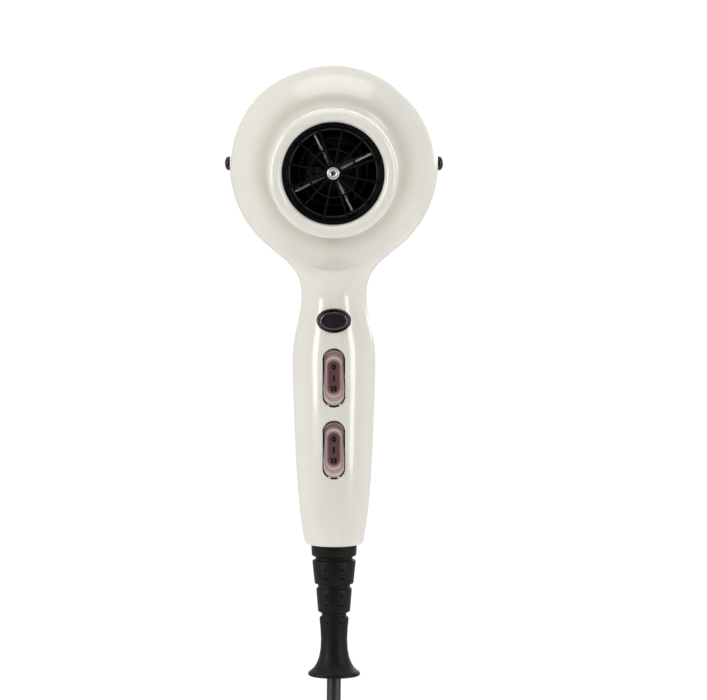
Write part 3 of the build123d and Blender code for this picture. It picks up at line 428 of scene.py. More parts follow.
# %% Fine grain
def make_grain():
    group, start, end = new_group(
        "fine_grain",
        [
            ("Scale", "Float", 900.0), ("Depth", "Float", 0.1), ("Roughness", "Float", 0.3),
            ("Variation", "Float", 0.1),
        ],
        [("Mask", "Float"), ("Roughness", "Float"), ("Normal", "Vector")],
    )
    fine = noise(group, start.outputs["Scale"], 3.0, 0.6)
    broad = maths(group, "SUBTRACT", noise(group, 38.0, 4.0), 0.5)
    varied = maths(group, "MULTIPLY_ADD", broad, start.outputs["Variation"], start.outputs["Roughness"])
    bump = group.nodes.new("ShaderNodeBump")
    bump.inputs["Distance"].default_value = 0.00005
    group.links.new(start.outputs["Depth"], bump.inputs["Strength"])
    group.links.new(fine, bump.inputs["Height"])
    group.links.new(fine, end.inputs["Mask"])
    group.links.new(varied, end.inputs["Roughness"])
    group.links.new(bump.outputs["Normal"], end.inputs["Normal"])
    return group


# %% [markdown]
# The drift of tone mixes two close colours by a soft cloud. Edge wear compares the surface's
# own normal with a Bevel node's rounded one: they differ only near an edge. Dust lies where
# the normal points up, broken by noise.

# %% Tone, wear and dust
def make_tone():
    group, start, end = new_group(
        "tone_drift",
        [
            ("Colour", "Color", (1, 1, 1, 1)), ("Second Colour", "Color", (1, 1, 1, 1)),
            ("Scale", "Float", 40.0),
        ],
        [("Colour", "Color"), ("Mask", "Float")],
    )
    cloud = noise(group, start.outputs["Scale"], 5.0, 0.6)
    share = group.nodes.new("ShaderNodeMapRange")
    share.inputs["From Min"].default_value = 0.3
    share.inputs["From Max"].default_value = 0.7
    group.links.new(cloud, share.inputs["Value"])
    mixed = blend_colours(
        group, share.outputs["Result"], start.outputs["Colour"], start.outputs["Second Colour"],
    )
    group.links.new(mixed, end.inputs["Colour"])
    group.links.new(share.outputs["Result"], end.inputs["Mask"])
    return group


def make_wear():
    group, start, end = new_group(
        "edge_wear",
        [
            ("Colour", "Color", (1, 1, 1, 1)), ("Worn Colour", "Color", (1, 1, 1, 1)),
            ("Amount", "Float", 0.5),
        ],
        [("Colour", "Color"), ("Mask", "Float")],
    )
    rounded = group.nodes.new("ShaderNodeBevel")
    rounded.samples = 4
    rounded.inputs["Radius"].default_value = 0.0004
    flat = group.nodes.new("ShaderNodeNewGeometry")
    compare = group.nodes.new("ShaderNodeVectorMath")
    compare.operation = "DOT_PRODUCT"
    group.links.new(rounded.outputs["Normal"], compare.inputs[0])
    group.links.new(flat.outputs["Normal"], compare.inputs[1])
    edge = maths(group, "SUBTRACT", 1.0, compare.outputs["Value"])
    patchy = maths(group, "MULTIPLY", maths(group, "MULTIPLY", edge, 5.0), noise(group, 260.0, 4.0))
    mask = maths(group, "MINIMUM", maths(group, "MULTIPLY", patchy, start.outputs["Amount"]), 1.0)
    mixed = blend_colours(group, mask, start.outputs["Colour"], start.outputs["Worn Colour"])
    group.links.new(mixed, end.inputs["Colour"])
    group.links.new(mask, end.inputs["Mask"])
    return group


def make_dust():
    group, start, end = new_group(
        "settled_dust",
        [
            ("Colour", "Color", (1, 1, 1, 1)), ("Dust Colour", "Color", (0.5, 0.48, 0.44, 1)),
            ("Amount", "Float", 0.1),
        ],
        [("Colour", "Color"), ("Mask", "Float")],
    )
    split = group.nodes.new("ShaderNodeSeparateXYZ")
    group.links.new(group.nodes.new("ShaderNodeNewGeometry").outputs["Normal"], split.inputs[0])
    upward = maths(group, "MAXIMUM", split.outputs["Z"], 0.0)
    mask = maths(
        group, "MULTIPLY", maths(group, "MULTIPLY", upward, noise(group, 420.0, 6.0, 0.7)),
        start.outputs["Amount"],
    )
    mixed = blend_colours(group, mask, start.outputs["Colour"], start.outputs["Dust Colour"])
    group.links.new(mixed, end.inputs["Colour"])
    group.links.new(mask, end.inputs["Mask"])
    return group


GRAIN, TONE, WEAR, DUST = make_grain(), make_tone(), make_wear(), make_dust()
print("effects", GRAIN.name, TONE.name, WEAR.name, DUST.name)

# %% [markdown]
# ## Finishes
# Each finish starts from the same short recipe: two tones, wear on the edges, a little dust,
# and grain for roughness and bump. What is special about it, such as a winding's wires or a
# board's layers, is added afterwards by name.

# %% The recipe for a finish
def place_group(tree, group, **values):
    """A group node with values given by socket name."""
    made = tree.nodes.new("ShaderNodeGroup")
    made.node_tree = group
    for label, value in values.items():
        socket = made.inputs[label.replace("_", " ").title()]
        if isinstance(value, (int, float, tuple)):
            socket.default_value = value
        else:
            tree.links.new(value, socket)
    return made


def finish_of(name, colour, second, roughness, variation=0.12, metallic=0.0, grain=900.0, depth=0.12,
              tone=40.0, worn=None, wear=0.4, dust=0.05, **shader_values):
    """A material with tone, wear, dust and grain. Returns it with its nodes in a dict."""
    material = bpy.data.materials.new(name)
    material.use_nodes = True
    tree = material.node_tree
    shader = tree.nodes["Principled BSDF"]
    tones = place_group(tree, TONE, colour=(*colour, 1), second_colour=(*second, 1), scale=tone)
    worn = worn or tuple(min(1, 0.5 * c + 0.28) for c in colour)
    edges = place_group(tree, WEAR, colour=tones.outputs["Colour"], worn_colour=(*worn, 1), amount=wear)
    dusty = place_group(tree, DUST, colour=edges.outputs["Colour"], amount=dust)
    grains = place_group(tree, GRAIN, scale=grain, depth=depth, roughness=roughness, variation=variation)
    tree.links.new(dusty.outputs["Colour"], shader.inputs["Base Color"])
    tree.links.new(grains.outputs["Roughness"], shader.inputs["Roughness"])
    tree.links.new(grains.outputs["Normal"], shader.inputs["Normal"])
    shader.inputs["Metallic"].default_value = metallic
    for label, value in shader_values.items():
        shader.inputs[label.replace("_", " ").title().replace("Ior", "IOR")].default_value = value
    return {
        "material": material, "tree": tree, "shader": shader, "dust": dusty, "grain": grains, "tone": tones,
    }


def recolour(finish, share, colour, how="MIX"):
    """Lays one more colour over a finish, where share says."""
    tree = finish["tree"]
    base = finish["shader"].inputs["Base Color"].links[0].from_socket
    tree.links.new(blend_colours(tree, share, base, colour, how), finish["shader"].inputs["Base Color"])


def bump_more(finish, height, distance, strength=0.6):
    """Lays a second bump over the grain."""
    tree = finish["tree"]
    bump = tree.nodes.new("ShaderNodeBump")
    bump.inputs["Distance"].default_value = distance
    bump.inputs["Strength"].default_value = strength
    tree.links.new(height, bump.inputs["Height"])
    tree.links.new(finish["grain"].outputs["Normal"], bump.inputs["Normal"])
    tree.links.new(bump.outputs["Normal"], finish["shader"].inputs["Normal"])


def stripes(tree, pitch, direction, distortion=0.0):
    """Soft stripes a pitch apart along one axis, 0 to 1."""
    wave = tree.nodes.new("ShaderNodeTexWave")
    wave.wave_type = "BANDS"
    wave.bands_direction = direction
    wave.inputs["Scale"].default_value = 0.31416 / pitch
    wave.inputs["Distortion"].default_value = distortion
    tree.links.new(tree.nodes.new("ShaderNodeTexCoord").outputs["Object"], wave.inputs["Vector"])
    return wave.outputs["Fac"]


# %% [markdown]
# ### The body's pearl white
# The body is glossy white plastic with a faint pearl, so it has a hard clear coat over a
# slightly rough base, and a cool and a warm ivory that drift into each other. Very fine bright
# flakes come from a small-scale noise, and long low waves in the coat come from the mould.

# %% Pearl white
pearl = finish_of(
    "pearl_white", (0.72, 0.715, 0.645), (0.69, 0.685, 0.63), 0.3, 0.1, grain=2600.0, depth=0.05, tone=16.0,
    worn=(0.80, 0.79, 0.74), wear=0.25, dust=0.03, coat_weight=0.6, coat_roughness=0.06, coat_ior=1.5,
    specular_ior_level=0.5,
)
flakes = maths(pearl["tree"], "GREATER_THAN", noise(pearl["tree"], 5200.0, 0.0), 0.68)
recolour(pearl, maths(pearl["tree"], "MULTIPLY", flakes, 0.35), (0.86, 0.87, 0.86, 1))
bump_more(pearl, noise(pearl["tree"], 55.0, 1.0), 0.00012, 0.25)
print("flakes on", pearl["material"].name)

# %% [markdown]
# The hollow between the barrel and the round head is a throat that catches little light. The
# pearl is painted a little darker and warmer there, a painted shade, by how far back a point lies.

# %% Painted shade in the throat
place = pearl["tree"].nodes.new("ShaderNodeSeparateXYZ")
pearl["tree"].links.new(pearl["tree"].nodes.new("ShaderNodeTexCoord").outputs["Object"], place.inputs[0])
into_throat = ramp(pearl["tree"], place.outputs["Y"], 28, 41)
out_of_throat = maths(pearl["tree"], "SUBTRACT", 1.0, ramp(pearl["tree"], place.outputs["Y"], 40, 49))
throat = maths(pearl["tree"], "MULTIPLY", into_throat, out_of_throat)
# painted shade: the pearl is darkened and warmed in the throat
recolour(pearl, throat, (0.76, 0.715, 0.68, 1), "MULTIPLY")

# %% [markdown]
# The outlet ring is a separate moulding, whiter than the body and a touch glossier.

# %% Ring white
ring_white = finish_of(
    "ring_white", (0.76, 0.755, 0.69), (0.73, 0.725, 0.67), 0.26, 0.1, grain=2600.0, depth=0.05, tone=22.0,
    worn=(0.84, 0.83, 0.78), wear=0.3, dust=0.03, coat_weight=0.6, coat_roughness=0.06, coat_ior=1.5,
)

# %% [markdown]
# ### The rockers' brown
# The caps are a translucent purple brown. Their rims and steps are painted paler, a painted
# highlight for the light they catch, and two fine dark lines of painted shade lie beside the oval
# cap, where it meets its skirt and where the skirt meets the slot. The corners are painted darker,
# a painted shade that an ambient occlusion node finds.

# %% Rocker brown
rocker_brown = finish_of(
    "rocker_brown", (0.11, 0.05, 0.057), (0.085, 0.038, 0.046), 0.3, 0.12, grain=1900.0, depth=0.12,
    tone=120.0, worn=(0.36, 0.25, 0.25), wear=0.6, dust=0.04, coat_weight=0.6, coat_roughness=0.12,
)


def oval_distance(tree, heights, straight):
    """How far a point is from the nearest upright line, straight millimetres long each way."""
    place = tree.nodes.new("ShaderNodeSeparateXYZ")
    tree.links.new(tree.nodes.new("ShaderNodeTexCoord").outputs["Object"], place.inputs[0])
    offsets = [
        maths(tree, "ABSOLUTE", maths(tree, "SUBTRACT", place.outputs["Z"], z * MM)) for z in heights
    ]
    along = maths(
        tree, "MAXIMUM", maths(tree, "SUBTRACT", maths(tree, "MINIMUM", *offsets), straight * MM), 0.0,
    )
    across_x = maths(tree, "MULTIPLY", place.outputs["X"], place.outputs["X"])
    return maths(tree, "SQRT", maths(tree, "ADD", across_x, maths(tree, "MULTIPLY", along, along)))


ROCKER_MIDDLES = (SPEED_Z + 0.4, HEAT_Z + 0.4)
CAP_STRAIGHT, SKIRT_STRAIGHT = 4.4, 5.3  # half the straight part of each oval, in millimetres
SHADE_LINE_RADII = (3.9, 4.75)
rocker_tree = rocker_brown["tree"]
# painted highlight: the cap's rims and the skirt's steps are painted paler
rims = ramp(rocker_tree, oval_distance(rocker_tree, ROCKER_MIDDLES, CAP_STRAIGHT), 1.9, 4.3)
recolour(rocker_brown, rims, (0.54, 0.41, 0.40, 1))
# painted shade: two thin dark lines in the gaps beside the cap and the skirt
for line in SHADE_LINE_RADII:
    beside = maths(
        rocker_tree, "ABSOLUTE",
        maths(
            rocker_tree, "SUBTRACT", oval_distance(rocker_tree, ROCKER_MIDDLES, SKIRT_STRAIGHT), line * MM,
        ),
    )
    recolour(
        rocker_brown, maths(rocker_tree, "SUBTRACT", 0.85, ramp(rocker_tree, beside, 0.08, 0.34)),
        (0.07, 0.03, 0.035, 1),
    )
# painted shade: the corners are darkened where an ambient occlusion node finds them
corners = rocker_brown["tree"].nodes.new("ShaderNodeAmbientOcclusion")
corners.inputs["Distance"].default_value = 0.8 * MM
painted_corner_shade = rocker_brown["tree"].nodes.new("ShaderNodeMapRange")
for label, value in (("From Min", 0.5), ("From Max", 0.92), ("To Min", 1.0), ("To Max", 0.0)):
    painted_corner_shade.inputs[label].default_value = value
rocker_brown["tree"].links.new(corners.outputs["AO"], painted_corner_shade.inputs["Value"])
recolour(rocker_brown, painted_corner_shade.outputs["Result"], (0.035, 0.014, 0.017, 1))
print("rims and lines on", rocker_brown["material"].name)

# %% [markdown]
# ### Black plastics and rubbers
# The dark pieces differ mostly in gloss and grain: the button is polished with a purple cast,
# the rubber is dull and slightly powdery, the grille is heat-proof plastic with a fine texture.

# %% Blacks
gloss_black = finish_of(
    "gloss_black", (0.010, 0.007, 0.010), (0.016, 0.009, 0.014), 0.16, 0.1, grain=2200.0, depth=0.05,
    tone=90.0, worn=(0.10, 0.09, 0.10), wear=0.3, coat_weight=1.0, coat_roughness=0.04,
)
bezel_black = finish_of(
    "bezel_black", (0.004, 0.0035, 0.004), (0.007, 0.006, 0.007), 0.34, 0.12, grain=1600.0, depth=0.2,
    tone=120.0, worn=(0.05, 0.045, 0.045), wear=0.2, specular_ior_level=0.25,
)
grille_black = finish_of(
    "grille_black", (0.004, 0.004, 0.005), (0.007, 0.006, 0.007), 0.55, 0.16, grain=1500.0, depth=0.4,
    tone=140.0, worn=(0.02, 0.02, 0.022), wear=0.2, dust=0.0, specular_ior_level=0.05,
)
rubber_black = finish_of(
    "rubber_black", (0.0035, 0.003, 0.0033), (0.006, 0.005, 0.005), 0.5, 0.22, grain=1300.0, depth=0.6,
    tone=70.0, worn=(0.03, 0.028, 0.027), wear=0.4, dust=0.02, specular_ior_level=0.16,
)
bump_more(rubber_black, noise(rubber_black["tree"], 240.0, 4.0), 0.0001, 0.35)
cord_black = finish_of(
    "cord_black", (0.012, 0.010, 0.011), (0.020, 0.016, 0.017), 0.4, 0.2, grain=1500.0, depth=0.45,
    tone=55.0, worn=(0.06, 0.055, 0.05), wear=0.2, dust=0.06,
)
bump_more(cord_black, noise(cord_black["tree"], 120.0, 3.0, 0.5, (1, 1, 0.25)), 0.00012, 0.4)
cap_black = finish_of(
    "cap_black", (0.005, 0.0045, 0.005), (0.008, 0.007, 0.008), 0.26, 0.12, grain=1700.0, depth=0.15,
    tone=160.0, worn=(0.05, 0.045, 0.045), wear=0.3, specular_ior_level=0.3,
)
filter_black = finish_of(
    "filter_black", (0.016, 0.0155, 0.016), (0.026, 0.024, 0.024), 0.4, 0.18, grain=1400.0, depth=0.45,
    tone=60.0, worn=(0.12, 0.115, 0.11), wear=0.5, dust=0.16,
)
bakelite = finish_of(
    "bakelite", (0.020, 0.015, 0.012), (0.035, 0.024, 0.018), 0.35, 0.2, grain=700.0, depth=0.4, tone=200.0,
    worn=(0.13, 0.10, 0.08), wear=0.6, dust=0.1,
)
diode_black = finish_of(
    "diode_black", (0.015, 0.014, 0.015), (0.03, 0.028, 0.028), 0.34, 0.12, grain=1500.0, depth=0.3,
    tone=300.0,
)
recolour(
    diode_black, maths(diode_black["tree"], "GREATER_THAN", stripes(diode_black["tree"], 0.011, "Z"), 0.93),
    (0.6, 0.6, 0.6, 1),
)

# %% [markdown]
# ### Metals
# A metal has no colour of its own under the light, so its look is all in roughness and fine
# marks: drawn tubes have scratches along their length, turned shafts across it, heated parts
# carry a straw and blue tint, and laminated steel shows its sheets as thin lines.

# %% Metals
def metal(name, colour, second, roughness, **more):
    made = finish_of(
        name, colour, second, roughness, metallic=1.0,
        **{"depth": 0.2, "variation": 0.25, "wear": 0.3, **more},
    )
    return made


eyelet_metal = metal(
    "eyelet_metal", (0.92, 0.92, 0.92), (0.86, 0.86, 0.86), 0.42, tone=300.0, worn=(0.98, 0.98, 0.98),
)
shield_metal = metal(
    "shield_metal", (0.30, 0.30, 0.30), (0.16, 0.155, 0.15), 0.34, tone=60.0, worn=(0.8, 0.79, 0.77),
    wear=1.0,
)
tint = noise(shield_metal["tree"], 30.0, 2.0, 0.5, (1, 3, 1))
recolour(shield_metal, maths(shield_metal["tree"], "MULTIPLY", tint, 0.5), (0.13, 0.10, 0.07, 1))
bump_more(shield_metal, noise(shield_metal["tree"], 900.0, 2.0, 0.5, (1, 0.04, 1)), 0.00004, 0.5)
heating_wire = metal(
    "heating_wire", (0.075, 0.07, 0.07), (0.035, 0.028, 0.03), 0.5, tone=130.0, worn=(0.2, 0.19, 0.19),
)
recolour(
    heating_wire, maths(heating_wire["tree"], "MULTIPLY", noise(heating_wire["tree"], 90.0, 2.0), 0.6),
    (0.055, 0.035, 0.045, 1),
)
motor_steel = metal(
    "motor_steel", (0.56, 0.56, 0.55), (0.46, 0.46, 0.46), 0.3, tone=50.0, worn=(0.75, 0.75, 0.74),
)
bump_more(motor_steel, noise(motor_steel["tree"], 1200.0, 2.0, 0.5, (1, 0.03, 1)), 0.00003, 0.5)
polished_steel = metal(
    "polished_steel", (0.66, 0.66, 0.66), (0.58, 0.58, 0.58), 0.18, tone=90.0, worn=(0.8, 0.8, 0.8),
)
bump_more(polished_steel, stripes(polished_steel["tree"], 0.0004, "Y", 2.0), 0.00001, 0.4)
screw_steel = metal(
    "screw_steel", (0.50, 0.50, 0.50), (0.40, 0.40, 0.40), 0.3, tone=200.0, worn=(0.75, 0.75, 0.75),
    wear=0.7,
)
spring_steel = metal("spring_steel", (0.45, 0.45, 0.45), (0.36, 0.36, 0.36), 0.26, tone=160.0)
spring_brass = metal("spring_brass", (0.66, 0.50, 0.22), (0.54, 0.39, 0.17), 0.28, tone=160.0)
terminal_brass = metal(
    "terminal_brass", (0.70, 0.54, 0.26), (0.58, 0.42, 0.19), 0.3, tone=180.0, worn=(0.85, 0.72, 0.45),
)
pin_nickel = metal(
    "pin_nickel", (0.68, 0.66, 0.62), (0.60, 0.58, 0.54), 0.22, tone=110.0, worn=(0.72, 0.58, 0.32),
    wear=0.5,
)
bump_more(pin_nickel, noise(pin_nickel["tree"], 1500.0, 2.0, 0.5, (1, 1, 0.03)), 0.00002, 0.5)
commutator_copper = metal(
    "commutator_copper", (0.72, 0.36, 0.20), (0.50, 0.24, 0.14), 0.26, tone=240.0, worn=(0.85, 0.5, 0.32),
)
recolour(
    commutator_copper,
    maths(commutator_copper["tree"], "MULTIPLY", stripes(commutator_copper["tree"], 0.0012, "Y", 1.0), 0.4),
    (0.10, 0.07, 0.06, 1),
)
enamelled_copper = metal(
    "enamelled_copper", (0.60, 0.24, 0.09), (0.48, 0.18, 0.07), 0.24, tone=160.0, coat_weight=0.8,
)
bump_more(enamelled_copper, stripes(enamelled_copper["tree"], 0.0005, "X", 3.0), 0.0002, 0.9)
recolour(
    enamelled_copper,
    maths(enamelled_copper["tree"], "MULTIPLY", stripes(enamelled_copper["tree"], 0.0005, "X", 3.0), 0.45),
    (0.16, 0.05, 0.02, 1),
)
lamination_steel = metal("lamination_steel", (0.40, 0.40, 0.41), (0.30, 0.30, 0.31), 0.4, tone=120.0)
sheets = stripes(lamination_steel["tree"], 0.0005, "Y")
bump_more(lamination_steel, sheets, 0.00012, 0.8)
recolour(lamination_steel, maths(lamination_steel["tree"], "MULTIPLY", sheets, 0.4), (0.10, 0.09, 0.09, 1))
mesh_steel = metal("mesh_steel", (0.46, 0.46, 0.45), (0.34, 0.34, 0.33), 0.36, tone=90.0, dust=0.2)
fuse_metal = metal("fuse_metal", (0.62, 0.60, 0.56), (0.50, 0.48, 0.45), 0.3, tone=220.0)
sintered_bronze = metal(
    "sintered_bronze", (0.46, 0.33, 0.18), (0.34, 0.24, 0.13), 0.46, tone=300.0, grain=2600.0, depth=0.9,
)

# %% [markdown]
# ### Everything else inside
# Mica is a pressed sheet of pale gold flakes, the fan's plastic is a grey moulding, the nylon
# pieces are milky, the board is green lacquer over glass cloth, and magnets and brushes are
# dull, porous black.

# %% Inside finishes
mica = finish_of(
    "mica", (0.96, 0.95, 0.92), (0.90, 0.88, 0.83), 0.34, 0.3, grain=500.0, depth=0.5, tone=170.0,
    worn=(1.0, 1.0, 0.98), wear=1.0, dust=0.0, coat_weight=0.5, coat_roughness=0.2,
)
scales_of_mica = mica["tree"].nodes.new("ShaderNodeTexVoronoi")
scales_of_mica.inputs["Scale"].default_value = 420.0
mica["tree"].links.new(
    mica["tree"].nodes.new("ShaderNodeTexCoord").outputs["Object"], scales_of_mica.inputs["Vector"],
)
recolour(
    mica, maths(mica["tree"], "MULTIPLY", scales_of_mica.outputs["Distance"], 0.5), (0.78, 0.74, 0.62, 1),
)
bump_more(mica, scales_of_mica.outputs["Distance"], 0.00015, 0.5)
grey_carrier = finish_of(
    "grey_carrier", (0.10, 0.10, 0.105), (0.075, 0.075, 0.08), 0.42, 0.2, grain=900.0, depth=0.4, tone=60.0,
    dust=0.12,
)
fan_plastic = finish_of(
    "fan_plastic", (0.055, 0.055, 0.058), (0.04, 0.04, 0.043), 0.36, 0.2, grain=1100.0, depth=0.3,
    tone=70.0, dust=0.14,
)
white_nylon = finish_of(
    "white_nylon", (0.66, 0.65, 0.60), (0.60, 0.58, 0.52), 0.44, 0.18, grain=1000.0, depth=0.25, tone=120.0,
    subsurface_weight=0.1, subsurface_scale=0.002,
)
switch_nylon = finish_of(
    "switch_nylon", (0.030, 0.029, 0.030), (0.045, 0.043, 0.043), 0.46, 0.16, grain=1000.0, depth=0.4,
    tone=150.0, wear=0.5,
)
magnet_ferrite = finish_of(
    "magnet_ferrite", (0.045, 0.043, 0.043), (0.07, 0.066, 0.064), 0.62, 0.2, grain=800.0, depth=0.8,
    tone=240.0,
)
carbon = finish_of(
    "carbon", (0.025, 0.025, 0.026), (0.05, 0.05, 0.05), 0.55, 0.25, grain=1400.0, depth=0.7, tone=400.0,
)
circuit_board = finish_of(
    "circuit_board", (0.02, 0.13, 0.06), (0.03, 0.17, 0.08), 0.3, 0.15, grain=700.0, depth=0.2, tone=260.0,
    worn=(0.45, 0.42, 0.25), wear=0.8, coat_weight=0.5,
)
weave = maths(
    circuit_board["tree"], "MULTIPLY", stripes(circuit_board["tree"], 0.0007, "X"),
    stripes(circuit_board["tree"], 0.0007, "Z"),
)
bump_more(circuit_board, weave, 0.00005, 0.6)
brown_insulation = finish_of(
    "brown_insulation", (0.16, 0.06, 0.025), (0.12, 0.045, 0.02), 0.34, 0.15, grain=1200.0, depth=0.2,
    tone=90.0,
)
blue_insulation = finish_of(
    "blue_insulation", (0.03, 0.12, 0.42), (0.025, 0.09, 0.33), 0.34, 0.15, grain=1200.0, depth=0.2,
    tone=90.0,
)
strap_fabric = finish_of(
    "strap_fabric", (0.020, 0.020, 0.022), (0.032, 0.031, 0.033), 0.75, 0.2, grain=900.0, depth=0.6,
    tone=120.0, dust=0.15, sheen_weight=0.5, sheen_roughness=0.5,
)
loops = maths(
    strap_fabric["tree"], "MULTIPLY", stripes(strap_fabric["tree"], 0.0009, "Z", 0.6),
    stripes(strap_fabric["tree"], 0.0009, "X", 0.6),
)
bump_more(strap_fabric, loops, 0.0004, 0.9)
print("materials", len(bpy.data.materials))

# %% [markdown]
# ## The body
# The body is two glossy mouldings that meet in one plane: a front half with the barrel and the
# front of the handle, and a rear half. Outside they read as one soft form, a round head that
# flows into a handle, so both are cut from one skin. It could be joined from a turned head and
# a lofted handle with a Boolean, but that leaves a hard line where they meet. Instead the
# faces between the two are bridged and a Subdivision Surface rounds the corner.
# A subdivided ring lies a little inside its corners, so the corners are set that much wider.

# %% The head's cage
HEAD_CORNERS = 24
HEAD_WIDEN = 1 / 0.98864  # a subdivided 24-sided ring is this much smaller than its corners
HANDLE_WIDEN = 1 / 0.97463  # and a 16-sided ring
head_profile = [
    (4, 26.4), (5.5, 26.4), (16, 26.4), (25, 26.5), (32, 27.0), (38, 28.4), (43.5, 31.8), (48.0, 36.6),
    (52.5, 41.0), (58.5, 43.9), (67.5, 45.05), (80, 45.25), (92.5, 44.4), (103, 42.2), (111, 39.2),
    (117, 35.9), (118, 35.3),
]
clear_selection()
bpy.ops.mesh.primitive_circle_add(
    vertices=HEAD_CORNERS, radius=head_profile[0][1] * MM * HEAD_WIDEN,
    location=(0, head_profile[0][0] * MM, 0), rotation=(-pi / 2, 0, 0),
)
head_cage = bpy.context.object
bpy.ops.object.transform_apply(location=True, rotation=True, scale=True)
edit_all()
for (y_before, r_before), (y, r) in zip(head_profile, head_profile[1:]):
    bpy.ops.mesh.extrude_region_move(TRANSFORM_OT_translate={"value": (0, (y - y_before) * MM, 0)})
    bpy.ops.transform.resize(value=(r / r_before, 1, r / r_before), center_override=(0, y * MM, 0))
bpy.ops.object.mode_set(mode="OBJECT")
# the patch under the head, where the handle starts
under = pick(
    head_cage, "polygons", lambda c: c.z < -35 * MM and abs(c.x) < 21.5 * MM and 59 * MM < c.y < 103 * MM,
)
bpy.ops.mesh.delete(type="FACE")
bpy.ops.object.mode_set(mode="OBJECT")
print("head cage", len(head_cage.data.polygons), "faces, opened by", under)

# %% [markdown]
# The handle starts as an oval ring with as many corners as the opening has, and is extruded
# down through the sizes that a hand feels: a narrow neck, a fuller grip and a tapered foot.

# %% The handle's cage
handle_profile = [
    (-45.5, 17.2, 22.3), (-50, 14.9, 20.0), (-56, 13.9, 18.75), (-63, 14.45, 18.65), (-70, 16.0, 19.3),
    (-78, 17.75, 20.05), (-86, 18.2, 20.25), (-98, 17.8, 19.95), (-112, 17.3, 19.5), (-126, 16.8, 18.9),
    (-140, 15.95, 18.0), (-152, 14.85, 16.95), (-160, 13.7, 15.9), (-164.6, 12.9, 15.1),
    (-165.9, 12.3, 14.5), (-166, 9.5, 11.7),
]
clear_selection()
z, half_x, half_y = handle_profile[0]
bpy.ops.mesh.primitive_circle_add(vertices=16, radius=1, location=(0, AXIS_Y, z * MM))
handle_cage = bpy.context.object
handle_cage.scale = (half_x * MM * HANDLE_WIDEN, half_y * MM * HANDLE_WIDEN, 1)
bpy.ops.object.transform_apply(location=True, rotation=True, scale=True)
edit_all()
for (z_before, x_before, y_before), (z, half_x, half_y) in zip(handle_profile, handle_profile[1:]):
    bpy.ops.mesh.extrude_region_move(TRANSFORM_OT_translate={"value": (0, 0, (z - z_before) * MM)})
    bpy.ops.transform.resize(
        value=(half_x / x_before, half_y / y_before, 1), center_override=(0, AXIS_Y, z * MM),
    )
bpy.ops.object.mode_set(mode="OBJECT")

body = joined([head_cage, handle_cage])
take(body)
bpy.ops.object.mode_set(mode="EDIT")
bpy.ops.mesh.select_all(action="DESELECT")
bpy.ops.object.mode_set(mode="OBJECT")
used = {}
for polygon in body.data.polygons:
    for key in polygon.edge_keys:
        used[key] = used.get(key, 0) + 1
open_edges = {key for key, count in used.items() if count == 1}
for edge in body.data.edges:
    middle = centre_of(body.data, edge)
    edge.select = edge.key in open_edges and -46 * MM < middle.z < -30 * MM and 50 * MM < middle.y < 110 * MM
    if edge.select:
        for i in edge.vertices:
            body.data.vertices[i].select = True
bpy.ops.object.mode_set(mode="EDIT")
bpy.ops.mesh.select_mode(type="EDGE")
bpy.ops.mesh.bridge_edge_loops()
bpy.ops.object.mode_set(mode="OBJECT")
apply_modifier(body, "SUBSURF", levels=3, render_levels=3)
take(body)
edit_all()
bpy.ops.mesh.normals_make_consistent(inside=False)
bpy.ops.object.mode_set(mode="OBJECT")
print("body skin", len(body.data.polygons), "faces", [round(v, 4) for v in body.dimensions])

# %% [markdown]
# Now the skin is halved with a bisect, each half gets its wall inwards, and a small bevel on
# the rims leaves the fine line that shows where two mouldings meet.

# %% Halving the skin
SEAM_GAP = 0.04 * MM


def half_of(skin, name, clear_front):
    piece = copied(skin)
    take(piece)
    edit_all()
    side = SEAM_GAP if clear_front else -SEAM_GAP
    bpy.ops.mesh.bisect(
        plane_co=(0, SEAM_Y + side, 0), plane_no=(0, 1, 0), clear_inner=clear_front,
        clear_outer=not clear_front,
    )
    bpy.ops.object.mode_set(mode="OBJECT")
    apply_modifier(piece, "SOLIDIFY", thickness=WALL, offset=-1, use_even_offset=True)
    piece.name = name
    print(name, "wall", round(WALL * 1000, 1), "mm,", len(piece.data.polygons), "faces")
    return piece


front_half = half_of(body, "front_half", False)
rear_half = half_of(body, "rear_half", True)
bpy.data.objects.remove(body, do_unlink=True)


# %% [markdown]
# The openings are cut with closed cutters: two rounded slots for the rockers, an oval for the
# cool-shot button, the round hole for the strain relief, and screw recesses in the rear. A
# slot is a box whose four upright edges are bevelled until its ends are round.

# %% Cutters
def slot_cutter(centre, width, height, depth):
    """A rounded slot through the front of the handle. Sizes in millimetres."""
    clear_selection()
    bpy.ops.mesh.primitive_cube_add(
        size=1, location=[c * MM for c in centre], scale=(width * MM, depth * MM, height * MM),
    )
    piece = bpy.context.object
    bpy.ops.object.transform_apply(location=True, rotation=True, scale=True)
    pick(piece, "edges", lambda c: abs(abs(c.x - centre[0] * MM) - width * MM / 2) < 1e-6
         and abs(abs(c.z - centre[2] * MM) - height * MM / 2) < 1e-6)
    bpy.ops.mesh.bevel(offset=width * MM / 2 * 0.998, segments=14, affect="EDGES")
    bpy.ops.mesh.select_all(action="SELECT")
    bpy.ops.mesh.remove_doubles(threshold=1e-6)
    bpy.ops.object.mode_set(mode="OBJECT")
    return piece


def cylinder(centre, radius, depth, axis="Y", vertices=48, squash=None):
    """A round cutter. Sizes in millimetres."""
    clear_selection()
    bpy.ops.mesh.primitive_cylinder_add(
        vertices=vertices, radius=radius * MM, depth=depth * MM, location=[c * MM for c in centre],
        rotation=TURNED_ROTATION[axis],
    )
    piece = bpy.context.object
    bpy.ops.object.transform_apply(location=True, rotation=True, scale=True)
    if squash:
        bpy.ops.object.mode_set(mode="EDIT")
        bpy.ops.transform.resize(value=squash, center_override=[c * MM for c in centre])
        bpy.ops.object.mode_set(mode="OBJECT")
    return piece


